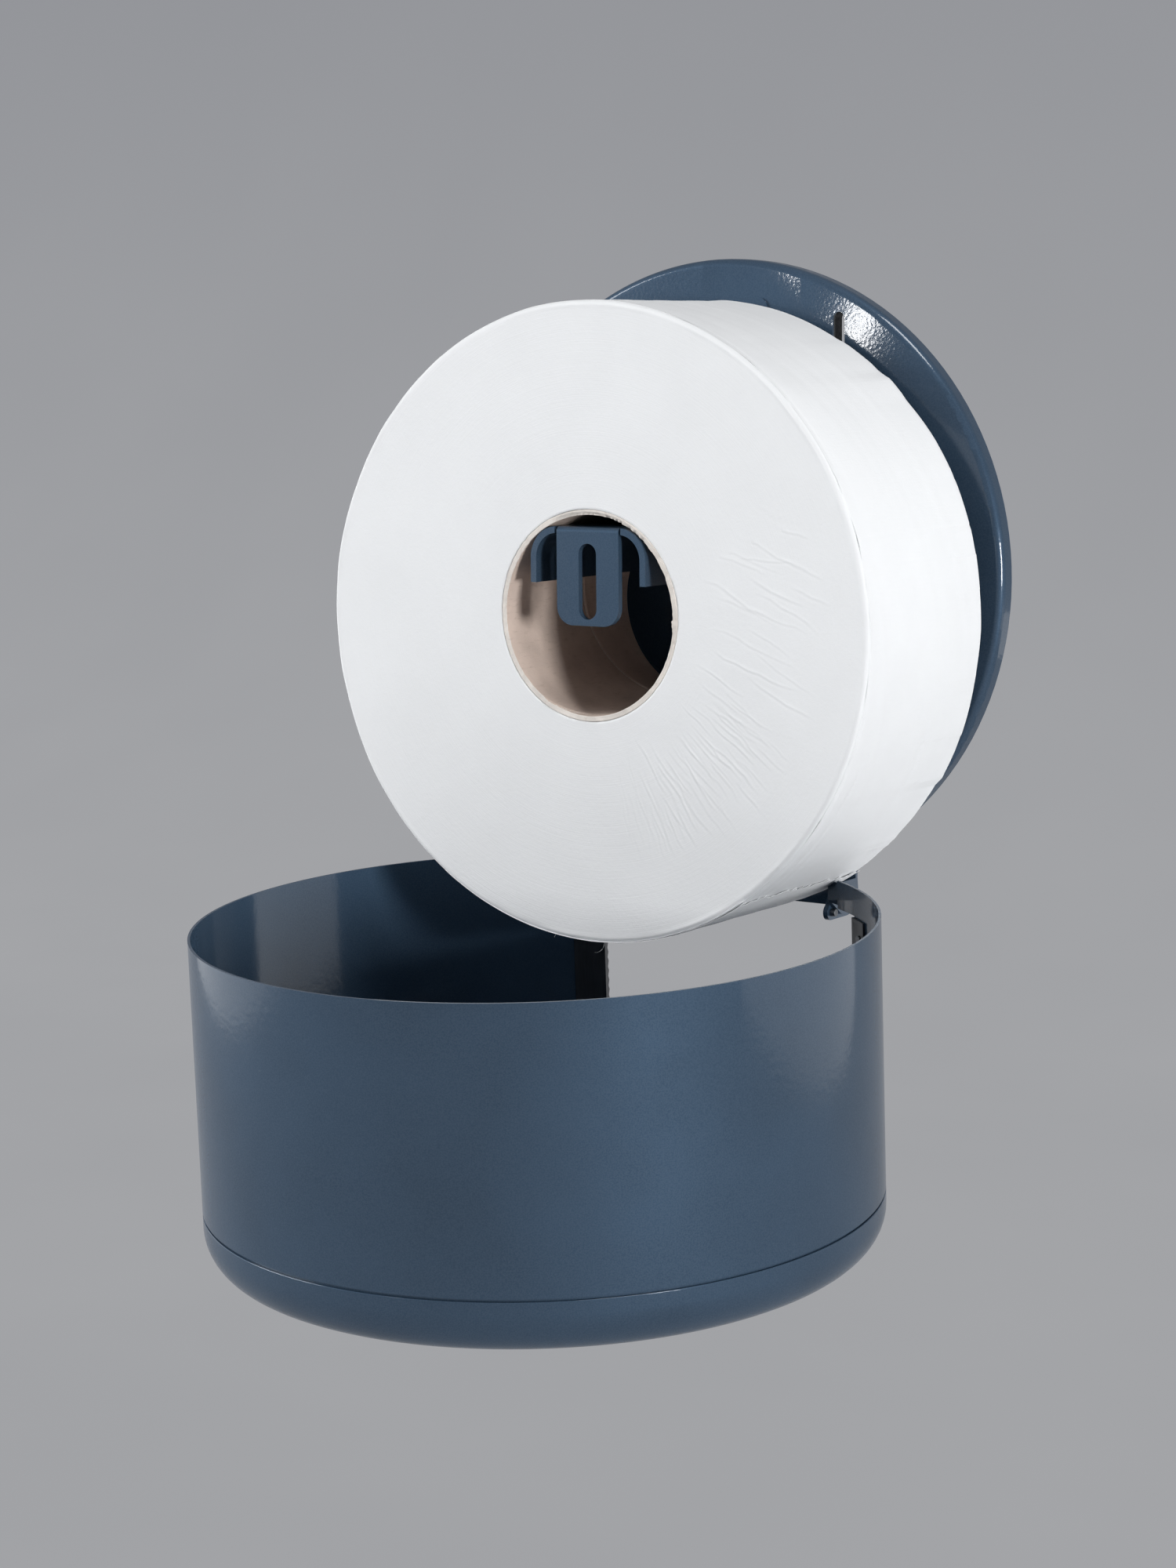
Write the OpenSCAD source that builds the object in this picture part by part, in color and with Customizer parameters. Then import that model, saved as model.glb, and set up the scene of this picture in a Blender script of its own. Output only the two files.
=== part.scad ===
// Jumbo toilet roll dispenser, round drum cover swung open, millimetres, +Z up.
// The wall is the plane y = 0, the object stands out towards -Y, x = 0 is the middle.
// The cover is described closed and then turned about its hinge pins to the open stop.

/* [Wall plate] */
// How far the cover stands out past the wall plate all round
cover_over = 4.5; // [2:0.1:8]
// Depth of the wall plate from the wall to its front face
plate_depth = 7.7; // [6:0.1:12]
// Sheet thickness of the wall plate
plate_t = 1.0; // [0.8:0.1:2]
// Outside radius of the turned edge
plate_edge_r = 3.0; // [2:0.1:4]
// Width of each vertical mounting slot
slot_w = 5.4; // [4:0.1:8]
// Overall length of each vertical mounting slot
slot_len = 16.0; // [10:0.5:22]
// Sideways spacing of the two slot columns
slot_dx = 104.0; // [80:0.5:120]
// Distance of the upper slot centres below the top of the plate
slot_top_inset = 29.3; // [26:0.1:40]
// Distance of the lower slot centres above the bottom of the plate
slot_low_inset = 48.5; // [44:0.1:70]
// Width of the raised frame near the top of the plate
frame_w = 24.3; // [16:0.1:30]
// Height of the raised frame
frame_h = 20.0; // [14:0.5:26]
// Width of the ridge of the raised frame
frame_ridge = 2.9; // [1.5:0.1:4]
// How far the ridge stands up from the plate
frame_rise = 0.8; // [0.4:0.1:1.5]
// Sideways position of the middle of the raised frame
frame_x = 7.7; // [-20:0.1:20]
// Distance of the raised frame below the top of the plate
frame_inset = 15.2; // [12:0.1:20]

/* [Wall spacers] */
// Wall of the spacer block around each mounting slot
spacer_wall = 4.5; // [3:0.1:6]
// Diameter of the round post behind the roll holder
post_d = 30.0; // [20:0.5:36]

/* [Rivets] */
// Shank diameter of the bracket rivets
rivet_d = 4.0; // [3:0.1:5]
// Head diameter of the hinge bracket rivets
rivet_head = 7.0; // [6:0.1:9]
// Head thickness of the hinge bracket rivets
rivet_head_t = 1.4; // [1:0.1:2]
// Head diameter of the roll holder rivets
holder_rivet_head = 8.0; // [7:0.1:9]
// Head thickness of the roll holder rivets
holder_rivet_head_t = 1.8; // [1:0.1:2.2]
// Distance of the hinge bracket rivets below the top of its web
rivet_edge = 6.0; // [5:0.1:8]
// Sideways distance of the inner hinge bracket rivets from the middle
rivet_in = 20.0; // [12:0.5:26]
// Sideways distance of the outer hinge bracket rivets from the middle
rivet_out = 45.0; // [34:0.5:48]

/* [Hinge bracket] */
// Outside width of the hinge bracket over its two ears
hinge_w = 120.0; // [110:0.5:126]
// Sheet thickness of the hinge bracket web
web_t = 1.5; // [1.2:0.1:2]
// How far the hinge bracket web reaches up behind the plate
web_lap = 27.9; // [24:0.1:32]
// How far the web reaches down past the hinge pins
web_drop = 4.8; // [3:0.1:8]
// Thickness of each ear
ear_t = 2.0; // [1.5:0.1:3]
// Distance of the hinge pins from the wall
pivot_out = 19.0; // [18.5:0.05:20]
// Height of the hinge pins above the lowest point of the closed cover
pivot_rise = 5.9; // [5:0.05:6.5]
// Diameter of the hinge pins
pin_d = 4.0; // [3:0.1:5]
// Radial running gap between a hinge pin and the cover ear
pin_gap = 0.05; // [0.02:0.01:0.1]
// Opening angle of the cover at its open stop
open_angle = 92.6; // [90:0.1:95]
// Diameter of the open stop pins
stop_d = 3.0; // [2:0.1:4]
// Gap between a stop pin and the cover ear at the open stop
stop_gap = 0.15; // [0.1:0.01:0.4]

/* [Roll holder] */
// Width of the flat top of the roll holder and of its front tab
tab_w = 28.0; // [24:0.1:32]
// Outside width of the roll holder
holder_w = 52.0; // [46:0.1:54]
// Sheet thickness of the roll holder
holder_t = 2.5; // [2:0.1:3]
// Height of the top of the roll holder
holder_top = 23.0; // [20:0.1:26]
// Height of the lower edge of the side flanges
flange_bot = 1.5; // [-5:0.1:8]
// Height of the lower edge of the front tab
tab_bot = -14.2; // [-18:0.1:-10]
// Distance of the front face of the tab from the wall
holder_out = 105.4; // [100:0.1:110]
// Radius of the lower corners of the tab
tab_corner = 7.0; // [4:0.1:9]
// Width of the slot in the tab
key_slot_w = 8.0; // [6:0.1:10]
// Length of the slot in the tab
key_slot_len = 28.6; // [22:0.1:32]
// Height of the middle of the slot in the tab
key_slot_z = 2.5; // [0:0.1:4]

// Length of the upper fixing foot above the roll holder
foot_up = 16.0; // [14:0.5:20]
// Length of each side foot beside the roll holder
foot_side = 13.0; // [12:0.5:18]
// Height of each side foot
foot_side_h = 12.0; // [10:0.5:14]

/* [Cover] */
// Outside diameter of the drum cover
cover_d = 256.8; // [240:0.1:280]
// Sheet thickness of the drum cover
cover_t = 1.0; // [0.8:0.1:1.5]
// Gap between the wall and the cover rim when closed
rim_gap = 8.0; // [7.9:0.1:10]
// How far the cover axis sits below the plate centre
cover_drop = 3.7; // [2:0.1:5]
// Depth from the rim to the joint groove
shell_len = 103.1; // [100:0.1:110]
// Width of the joint groove
groove_w = 1.0; // [0.6:0.1:1.5]
// Depth of the front cap from the groove to the front face
cap_len = 21.5; // [21:0.1:30]
// Outside radius of the rounded front edge
cap_edge_r = 16.4; // [10:0.1:20]
// Half width of the rim cut-out over the hinge
notch_half = 67.0; // [64:0.5:70]
// Depth of the rim cut-out over the hinge
notch_depth = 21.0; // [20:0.1:24]
// Angle of the left edge of the paper outlet
outlet_left = -113.1; // [-118:0.1:-110]
// Angle of the right edge of the paper outlet
outlet_right = -51.5; // [-60:0.1:-48]
// Depth from the rim to the near edge of the outlet
outlet_near = 11.0; // [10.5:0.1:12]
// Distance between the far edge of the outlet and the joint ring
outlet_stop = 0.7; // [0.4:0.1:10]
// Thickness of the ring behind the joint groove
ring_t = 1.2; // [0.8:0.1:1.5]
// Length of the joint ring on each side of the groove
ring_lap = 4.8; // [3:0.1:6]

/* [Cover ears] */
// Thickness of a cover ear and of its foot
cear_t = 1.8; // [1.5:0.1:2.2]
// Sideways gap between a hinge bracket ear and a cover ear
cear_gap = 0.4; // [0.3:0.1:1]
// Radius of the round end of a cover ear
cear_r = 5.5; // [4.5:0.1:6]
// Thickness of the curved foot
foot_t = 1.5; // [1.2:0.1:2]
// Angle of the far end of the curved foot from the middle
foot_end = 46.0; // [44:0.5:52]

/* [Tear strips] */
// Thickness of a tear strip
strip_t = 0.8; // [0.6:0.1:1.2]
// Width of the curved foot in degrees
strip_foot = 5.4; // [4:0.1:7]
// Outward reach of the serrated lip from the inside of the shell
lip_h = 7.0; // [5:0.1:8]
// Pitch of the serration
tooth_pitch = 4.0; // [3:0.5:6]
// Distance of the strip rivets from the ends of a strip
strip_rivet_edge = 8.0; // [5:0.5:12]
// Depth of the serration
tooth_h = 1.8; // [1:0.1:2.5]

/* [Lock] */
// Height of the lock above the cover axis when closed
lock_up = 9.7; // [6:0.1:12]
// Diameter of the lock housing
lock_d = 19.0; // [16:0.5:22]
// Diameter of the lock head
lock_head_d = 24.0; // [21:0.5:28]
// Thickness of the lock head
lock_head_t = 2.2; // [1.5:0.1:3]
// Gap between the lock housing and the front of the tab when closed
lock_clear = 4.2; // [2:0.1:8]
// Diameter of the turning plug
plug_d = 12.0; // [10:0.1:13]
// Radial running gap of the plug
plug_gap = 0.06; // [0.02:0.01:0.1]
// Diameter of the plug shaft
shaft_d = 5.6; // [5:0.1:6.4]
// Length of the tongue across the plug axis
tongue_len = 16.0; // [12:0.1:18]
// Width of the tongue
tongue_w = 6.0; // [5:0.1:7]
// Thickness of the tongue
tongue_t = 2.5; // [2:0.1:3]
// Gap between the tongue and the back of the tab
tongue_gap = 0.6; // [0.3:0.1:1]
// Across flats of the lock nut
nut_af = 24.0; // [22:0.5:27]
// Thickness of the lock nut
nut_t = 3.5; // [2.5:0.1:5]

/* [Roll] */
// Gap between the full paper roll and the inside of the drum
roll_room = 8.9; // [8.9:0.1:52]
// Width of the paper roll
roll_w = 84.0; // [70:0.5:84]
// Inside diameter of the cardboard core
core_bore_d = 76.0; // [75.8:0.1:78]
// Wall of the cardboard core
core_wall = 2.0; // [1:0.1:3]
// Running gap between the core and the shoulders of the roll holder
core_gap = 0.4; // [0.35:0.05:1]

/* [Hidden] */
$fn = 96;
eps = 0.01;
face_back = plate_depth - plate_t;
holder_r = (holder_w - tab_w) / 2;
core_r = core_bore_d / 2;
reach = core_r - core_gap - holder_r;
roll_z = holder_top - holder_r - sqrt(reach * reach - tab_w * tab_w / 4);
roll_front = holder_out - 0.1;
roll_back = roll_front - roll_w;
co = cover_d / 2;
ci = co - cover_t;
roll_d = 2 * (ci - roll_room); // full paper roll
pr = co - cover_over;
pivot_z = pivot_rise - co - cover_drop;
web_top = web_lap - pr;
web_bot = pivot_z - web_drop;
slot_up = pr - slot_top_inset;
slot_down = slot_low_inset - pr;
frame_top = pr - frame_inset;
cap_z = shell_len + groove_w;
cover_len = cap_z + cap_len;
outlet_far = shell_len - ring_lap - outlet_stop;
ear_x = hinge_w / 2;
cear_x = ear_x + cear_gap;
// hinge pins in the cover's own frame, across then along the axis
pu = pivot_z + cover_drop;
pv = pivot_out - rim_gap;
// cover ear outline, two straight sides touching the round end
foot_u = -sqrt(co * co - cear_x * cear_x) + 1.0;
foot_v1 = 1.2;
foot_v2 = 10.0;
function touch(u, v, s) =
    let (du = u - pu, dv = v - pv, d = sqrt(du * du + dv * dv))
    let (a = atan2(dv, du) + s * acos(cear_r / d))
    [pu + cear_r * cos(a), pv + cear_r * sin(a)];
t2 = touch(foot_u, foot_v2, 1);
t1 = touch(foot_u, foot_v1, -1);
// a point of the cover's own frame turned to the open stop, as [y, z]
function opened(u, v) =
    let (y = -rim_gap - v + pivot_out, z = u - cover_drop - pivot_z)
    [y * cos(open_angle) - z * sin(open_angle) - pivot_out,
     y * sin(open_angle) + z * cos(open_angle) + pivot_z];
oa = opened(t2[0], t2[1]);
ob = opened(foot_u, foot_v2);
ol = sqrt(pow(ob[0] - oa[0], 2) + pow(ob[1] - oa[1], 2));
od = [(ob[0] - oa[0]) / ol, (ob[1] - oa[1]) / ol];
stop_s = 3.4;
stop_rim = stop_d / 2 + 1.6;
stop_c = [oa[0] + od[0] * stop_s - od[1] * (stop_d / 2 + stop_gap),
          oa[1] + od[1] * stop_s + od[0] * (stop_d / 2 + stop_gap)];
// tongue and shaft along the cover axis, measured from the rim
tab_back_v = holder_out - holder_t - rim_gap;
tongue_v2 = tab_back_v - tongue_gap;
tongue_v1 = tongue_v2 - tongue_t;
barrel_v = holder_out - rim_gap + lock_clear;
lock_len = cover_len - barrel_v;
square_w = 3.9;
strip_end = 0.6;
strip_rivet_d = 2.4;

// ---------------------------------------------------------------- helpers
// local z runs out from the wall along -Y, local y is up
module outward() {
    rotate([90, 0, 0]) children();
}

// cover's own frame, turned about the hinge pins to the open stop
module on_cover() {
    translate([0, -pivot_out, pivot_z])
    rotate([open_angle, 0, 0])
    translate([0, pivot_out, -pivot_z])
    translate([0, -rim_gap, -cover_drop])
    outward() children();
}

module obround(w, l) {
    square([w, l - w], center = true);
    translate([0, (l - w) / 2]) circle(d = w);
    translate([0, -(l - w) / 2]) circle(d = w);
}

module slot_places() {
    for (x = [-slot_dx / 2, slot_dx / 2])
        for (y = [slot_up, slot_down])
            translate([x, y, 0]) children();
}

module rounded_rect(w, h, r) {
    square([w - 2 * r, h], center = true);
    square([w, h - 2 * r], center = true);
    for (x = [-1, 1]) for (y = [-1, 1])
        translate([x * (w / 2 - r), y * (h / 2 - r)]) circle(r = r);
}

// round bowl outline, radius first and depth second
module bowl_profile(r, d, e) {
    square([r - e, d]);
    square([r, d - e]);
    translate([r - e, d - e]) circle(r = e);
}

// pie slice between two angles
module slice(r, a, b) {
    m = (a + b) / 2;
    h = r / cos((b - a) / 2);
    polygon([[0, 0], [r * cos(a), r * sin(a)], [h * cos(m), h * sin(m)],
        [r * cos(b), r * sin(b)]]);
}

module curved_strip(r1, r2, a, b, h) {
    linear_extrude(h)
    intersection() {
        difference() {
            circle(r = r2);
            circle(r = r1);
        }
        slice(r2 + 5, a, b);
    }
}

// blind rivet with a low round head in front and a flat head behind
module rivet(d, head, thick, through) {
    cylinder(d = d, h = through);
    translate([0, 0, through]) cylinder(d = head, h = thick * 0.55);
    translate([0, 0, through + thick * 0.55])
        cylinder(d1 = head, d2 = head * 0.6, h = thick * 0.45);
    translate([0, 0, -thick * 0.6]) cylinder(d = head * 0.8, h = thick * 0.6);
}

// ---------------------------------------------------------------- wall side
module wall_plate() {
    color("#4a5462") outward() difference() {
        union() {
            difference() {
                rotate_extrude() bowl_profile(pr, plate_depth, plate_edge_r);
                rotate_extrude() bowl_profile(pr - plate_t, face_back, plate_edge_r - plate_t);
            }
            translate([frame_x, frame_top - frame_h / 2, plate_depth - eps])
            linear_extrude(frame_rise + eps) difference() {
                rounded_rect(frame_w, frame_h, 4);
                rounded_rect(frame_w - 2 * frame_ridge, frame_h - 2 * frame_ridge, 2);
            }
        }
        slot_places() translate([0, 0, -1]) linear_extrude(plate_depth + 3) obround(slot_w, slot_len);
        // way out for the hinge bracket through the turned edge
        translate([-ear_x - 0.4, -pr - 1, face_back - web_t - 0.4])
            cube([hinge_w + 0.8, 36, web_t + 0.4]);
        holder_rivet_places() cylinder(d = rivet_d, h = 3 * plate_depth, center = true);
        bracket_rivet_places() cylinder(d = rivet_d, h = 3 * plate_depth, center = true);
    }
}

module mount_spacers() {
    color("#2b2d30") outward() {
        slot_places() linear_extrude(face_back) difference() {
            obround(slot_w + 2 * spacer_wall, slot_len + 2 * spacer_wall);
            obround(slot_w, slot_len);
        }
        cylinder(d = post_d, h = face_back);
    }
}

module bracket_rivet_places() {
    for (x = [-rivet_out, -rivet_in, rivet_in, rivet_out])
        translate([x, web_top - rivet_edge, 0]) children();
}

module ear_outline() {
    top = pivot_z + 7;
    union() {
        polygon([[face_back - web_t - 1.5, web_bot], [face_back - web_t, top], [pivot_out - 3, top],
            [pivot_out + 5.5, pivot_z + 4], [-stop_c[0] + stop_rim, stop_c[1]],
            [-stop_c[0], stop_c[1] - stop_rim], [pivot_out - 6, stop_c[1] - stop_rim]]);
        translate([-stop_c[0], stop_c[1]]) circle(r = stop_rim);
    }
}

module hinge_bracket() {
    color("#5b6674") difference() {
        union() {
            outward() translate([-ear_x, web_bot, face_back - web_t])
                cube([hinge_w, web_top - web_bot, web_t]);
            for (s = [0, 1]) mirror([s, 0, 0])
                translate([ear_x - ear_t, 0, 0]) side_plate(ear_t) ear_outline();
        }
        outward() bracket_rivet_places() cylinder(d = rivet_d, h = 30, center = true);
        for (s = [0, 1]) mirror([s, 0, 0]) {
            translate([ear_x - 5, -pivot_out, pivot_z]) rotate([0, 90, 0]) cylinder(d = pin_d, h = 10);
            translate([ear_x - 5, stop_c[0], stop_c[1]]) rotate([0, 90, 0]) cylinder(d = stop_d, h = 10);
        }
    }
}

// outline given as distance from the wall and height, standing across X
module side_plate(t) {
    rotate([90, 0, -90]) mirror([0, 0, 1]) linear_extrude(t) children();
}

module hinge_bracket_rivets() {
    color("#9aa3ad") outward() bracket_rivet_places()
        translate([0, 0, face_back - web_t])
            rivet(rivet_d, rivet_head, rivet_head_t, web_t + plate_t);
}

module hinge_pins() {
    color("#b8bec6") for (s = [0, 1]) mirror([s, 0, 0])
        translate([ear_x - ear_t - 1.2, -pivot_out, pivot_z]) rotate([0, 90, 0]) {
            cylinder(d = pin_d + 2, h = 1.2);
            cylinder(d = pin_d, h = 1.2 + ear_t + cear_gap + cear_t + 1.2);
            translate([0, 0, 1.2 + ear_t + cear_gap + cear_t + 0.35]) cylinder(d = pin_d + 3, h = 1.2);
        }
}

module stop_pins() {
    color("#b8bec6") for (s = [0, 1]) mirror([s, 0, 0])
        translate([ear_x - ear_t, stop_c[0], stop_c[1]]) rotate([0, 90, 0])
            cylinder(d = stop_d, h = ear_t + cear_gap + cear_t);
}

// ---------------------------------------------------------------- roll holder
module holder_rivet_places() {
    translate([0, holder_top + foot_up / 2, 0]) children();
    for (x = [-1, 1])
        translate([x * (holder_w + foot_side) / 2, flange_bot + foot_side_h / 2, 0]) children();
}

module holder_section(g) {
    tw = tab_w / 2;
    difference() {
        union() {
            translate([-tw, flange_bot]) square([tab_w, holder_top - g - flange_bot]);
            translate([-holder_w / 2 + g, flange_bot])
                square([holder_w - 2 * g, holder_top - holder_r - flange_bot]);
            for (x = [-tw, tw]) translate([x, holder_top - holder_r]) circle(r = holder_r - g);
        }
        translate([-holder_w, flange_bot - 60]) square([2 * holder_w, 60]);
    }
}

module roll_holder() {
    color("#4f5b69") outward() difference() {
        union() {
            // channel with round shoulders
            difference() {
                translate([0, 0, plate_depth]) linear_extrude(holder_out - plate_depth) holder_section(0);
                translate([0, 0, plate_depth - 1])
                    linear_extrude(holder_out - plate_depth + 2) holder_section(holder_t);
                translate([-holder_w / 2 + holder_t, flange_bot - 1, plate_depth - 1])
                    cube([holder_w - 2 * holder_t, 3, holder_out]);
                // bend reliefs beside the tab
                for (x = [-1, 1]) translate([x * (tab_w / 2 + 0.5) - 0.5, holder_top - 6, holder_out - 4])
                    cube([1, 8, 6]);
            }
            // front tab
            translate([0, 0, holder_out - holder_t]) linear_extrude(holder_t) union() {
                translate([-tab_w / 2, tab_bot + tab_corner])
                    square([tab_w, holder_top - 1.5 - tab_bot - tab_corner]);
                translate([-tab_w / 2 + tab_corner, tab_bot]) square([tab_w - 2 * tab_corner, 20]);
                for (x = [-1, 1]) translate([x * (tab_w / 2 - tab_corner), tab_bot + tab_corner])
                    circle(r = tab_corner);
            }
            // fixing feet on the wall plate
            translate([-tab_w / 2, holder_top - holder_t, plate_depth])
                cube([tab_w, foot_up + holder_t, holder_t]);
            for (s = [0, 1]) mirror([s, 0, 0])
                translate([holder_w / 2 - holder_t, flange_bot, plate_depth])
                    cube([foot_side + holder_t, foot_side_h, holder_t]);
        }
        translate([0, key_slot_z, holder_out - 10]) linear_extrude(20) obround(key_slot_w, key_slot_len);
        // rounded upper bend of the tab
        translate([0, holder_top - 2, holder_out - 2]) rotate([0, 90, 0]) difference() {
            translate([-4, 0, -tab_w / 2]) cube([4, 4, tab_w]);
            translate([0, 0, -tab_w]) cylinder(r = 2, h = 2 * tab_w);
        }
        holder_rivet_places() cylinder(d = rivet_d, h = 40, center = true);
    }
}

module roll_holder_rivets() {
    color("#9aa3ad") outward() holder_rivet_places()
        translate([0, 0, face_back])
            rivet(rivet_d, holder_rivet_head, holder_rivet_head_t, plate_t + holder_t);
}

// ---------------------------------------------------------------- cover
module cover_shell() {
    color("#46515f") on_cover() difference() {
        cylinder(r = co, h = shell_len);
        translate([0, 0, -1]) cylinder(r = ci, h = shell_len + 2);
        translate([-notch_half, -co - 5, -1]) cube([2 * notch_half, co, notch_depth + 1]);
        translate([0, 0, outlet_near]) linear_extrude(outlet_far - outlet_near)
            slice(co + 5, outlet_left, outlet_right);
        strip_rivet_places() cylinder(d = strip_rivet_d, h = 12, center = true);
    }
}

module cover_cap() {
    color("#46515f") on_cover() difference() {
        rotate_extrude() bowl_profile(co, cover_len, cap_edge_r);
        rotate_extrude() bowl_profile(ci, cover_len - cover_t, cap_edge_r - cover_t);
        translate([0, 0, -1]) cylinder(r = co + 5, h = cap_z + 1);
        translate([0, lock_up, cover_len - 10]) cylinder(d = lock_d, h = 20);
    }
}

module joint_ring() {
    color("#3b444f") on_cover() translate([0, 0, shell_len - ring_lap]) difference() {
        cylinder(r = ci, h = 2 * ring_lap + groove_w);
        translate([0, 0, -1]) cylinder(r = ci - ring_t, h = 2 * ring_lap + groove_w + 2);
    }
}

module cover_ear(s) {
    a1 = -acos(cear_x / (co + foot_t));
    on_cover() mirror([s, 0, 0]) difference() {
        union() {
            translate([0, 0, foot_v1]) curved_strip(co, co + foot_t, a1, -foot_end, foot_v2 - foot_v1);
            translate([cear_x, 0, 0]) rotate([90, 0, 90]) linear_extrude(cear_t) difference() {
                union() {
                    polygon([[foot_u, foot_v1], [foot_u, foot_v2], t2, [pu, pv], t1]);
                    translate([pu, pv]) circle(r = cear_r);
                }
                translate([pu, pv]) circle(r = pin_d / 2 + pin_gap);
            }
        }
        translate([0, 0, -1]) cylinder(r = co, h = foot_v2 + 2);
    }
}

module cover_ear_left() {
    color("#5b6674") cover_ear(1);
}

module cover_ear_right() {
    color("#5b6674") cover_ear(0);
}

// flat strip standing out through the edge of the outlet, foot on the inside of the shell
module tear_strip(s, a, z_near) {
    len = outlet_far - strip_end - z_near;
    n = floor(len / tooth_pitch);
    z0 = (len - n * tooth_pitch) / 2;
    on_cover() difference() {
        translate([0, 0, z_near]) mirror([s, 0, 0]) rotate([0, 0, a]) {
            curved_strip(ci - strip_t, ci, -0.4, strip_foot, len);
            translate([ci - strip_t, -strip_t - 0.1, 0]) difference() {
                cube([lip_h, strip_t, len]);
                for (i = [0 : n - 1]) translate([lip_h, -1, z0 + i * tooth_pitch])
                    rotate([-90, 0, 0]) linear_extrude(3)
                    polygon([[0.5, 0.5], [0.5, -tooth_pitch - 0.5], [-tooth_h, -tooth_pitch / 2]]);
            }
        }
        strip_rivet_places() cylinder(d = strip_rivet_d, h = 12, center = true);
    }
}

module tear_strip_left() {
    color("#8d959e") tear_strip(1, -180 - outlet_left, notch_depth + strip_end);
}

module tear_strip_right() {
    color("#8d959e") tear_strip(0, outlet_right, outlet_near + strip_end);
}

module strip_rivet_places() {
    far = outlet_far - strip_end - strip_rivet_edge;
    for (z = [outlet_near + strip_end + strip_rivet_edge, far])
        rotate([0, 0, outlet_right + strip_foot * 0.55]) translate([ci, 0, z]) rotate([0, 90, 0]) children();
    for (z = [notch_depth + strip_end + strip_rivet_edge, far])
        rotate([0, 0, outlet_left - strip_foot * 0.55]) translate([ci, 0, z]) rotate([0, 90, 0]) children();
}

module tear_strip_rivets() {
    color("#9aa3ad") on_cover() strip_rivet_places() {
        translate([0, 0, -strip_t - 0.1]) cylinder(d = strip_rivet_d, h = strip_t + cover_t + 0.1);
        translate([0, 0, -strip_t - 0.63]) cylinder(d = strip_rivet_d + 2, h = 0.6);
        translate([0, 0, cover_t]) cylinder(d = strip_rivet_d + 2, h = 0.6);
    }
}

// ---------------------------------------------------------------- lock
module at_lock() {
    on_cover() translate([0, lock_up, 0]) children();
}

module lock_housing() {
    color("#c3c8ce") at_lock() difference() {
        union() {
            translate([0, 0, barrel_v]) cylinder(d = lock_d, h = lock_len);
            translate([0, 0, cover_len]) cylinder(d = lock_head_d, h = lock_head_t - 0.6);
            translate([0, 0, cover_len + lock_head_t - 0.6])
                cylinder(d1 = lock_head_d, d2 = lock_head_d - 2, h = 0.6);
        }
        translate([0, 0, barrel_v + 2]) cylinder(r = plug_d / 2 + plug_gap, h = lock_len + lock_head_t - 3.2);
        translate([0, 0, barrel_v - 1]) cylinder(r = shaft_d / 2 + plug_gap, h = 5);
        translate([0, 0, cover_len]) cylinder(r = plug_d / 2 - 0.8 + plug_gap, h = lock_head_t + 1);
    }
}

module lock_washer() {
    color("#b8bec6") at_lock() translate([0, 0, cover_len - cover_t - 0.8]) difference() {
        cylinder(d = lock_head_d + 2, h = 0.8);
        translate([0, 0, -1]) cylinder(d = lock_d, h = 3);
    }
}

module lock_nut() {
    color("#b8bec6") at_lock() translate([0, 0, cover_len - cover_t - 0.8 - nut_t]) difference() {
        linear_extrude(nut_t) intersection_for (a = [0, 60, 120])
            rotate([0, 0, a]) square([nut_af, 2 * nut_af], center = true);
        translate([0, 0, -1]) cylinder(d = lock_d, h = nut_t + 2);
    }
}

module lock_plug() {
    color("#d0d4d9") at_lock() difference() {
        union() {
            translate([0, 0, barrel_v + 2.15]) cylinder(d = plug_d, h = lock_len + lock_head_t - 3.5);
            translate([0, 0, cover_len - 1]) cylinder(d = plug_d - 1.6, h = lock_head_t + 0.7);
            translate([0, 0, tongue_v2]) cylinder(d = shaft_d, h = barrel_v + 3 - tongue_v2);
            translate([-square_w / 2, -square_w / 2, tongue_v1]) cube([square_w, square_w, tongue_t + 1]);
        }
        // keyway
        translate([-1.1, -3.9, cover_len + lock_head_t - 5]) cube([2.2, 7.8, 10]);
        translate([0, 0, tongue_v1 - 1]) cylinder(d = 2.5, h = 9);
    }
}

module lock_tongue() {
    color("#b8bec6") at_lock() translate([0, 0, tongue_v1]) difference() {
        linear_extrude(tongue_t) rounded_rect(tongue_w, tongue_len, 2.4);
        translate([-square_w / 2, -square_w / 2, -1]) cube([square_w, square_w, tongue_t + 2]);
    }
}

module lock_screw() {
    color("#b8bec6") at_lock() difference() {
        union() {
            translate([0, 0, tongue_v1 - 1.6]) cylinder(d = 5.6, h = 1.6);
            translate([0, 0, tongue_v1 - eps]) cylinder(d = 2.5, h = 7);
        }
        translate([-0.4, -4, tongue_v1 - 2.6]) cube([0.8, 8, 1.8]);
    }
}

// ---------------------------------------------------------------- roll
module on_roll() {
    translate([0, -roll_back, roll_z]) outward() children();
}

module roll_core() {
    color("#b79f86") on_roll() difference() {
        cylinder(r = core_r + core_wall, h = roll_w);
        translate([0, 0, -1]) cylinder(r = core_r, h = roll_w + 2);
    }
}

module paper_roll() {
    color("#f2f3f4") on_roll() difference() {
        translate([0, 0, roll_w]) mirror([0, 0, 1]) rotate_extrude()
            bowl_profile(roll_d / 2, roll_w, 2);
        difference() {
            translate([0, 0, roll_w - 2]) cylinder(r = roll_d, h = 4);
            translate([0, 0, roll_w - 4]) rotate_extrude() bowl_profile(roll_d / 2, 4, 2);
        }
        translate([0, 0, -1]) cylinder(r = core_r + core_wall, h = roll_w + 2);
    }
}

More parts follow.
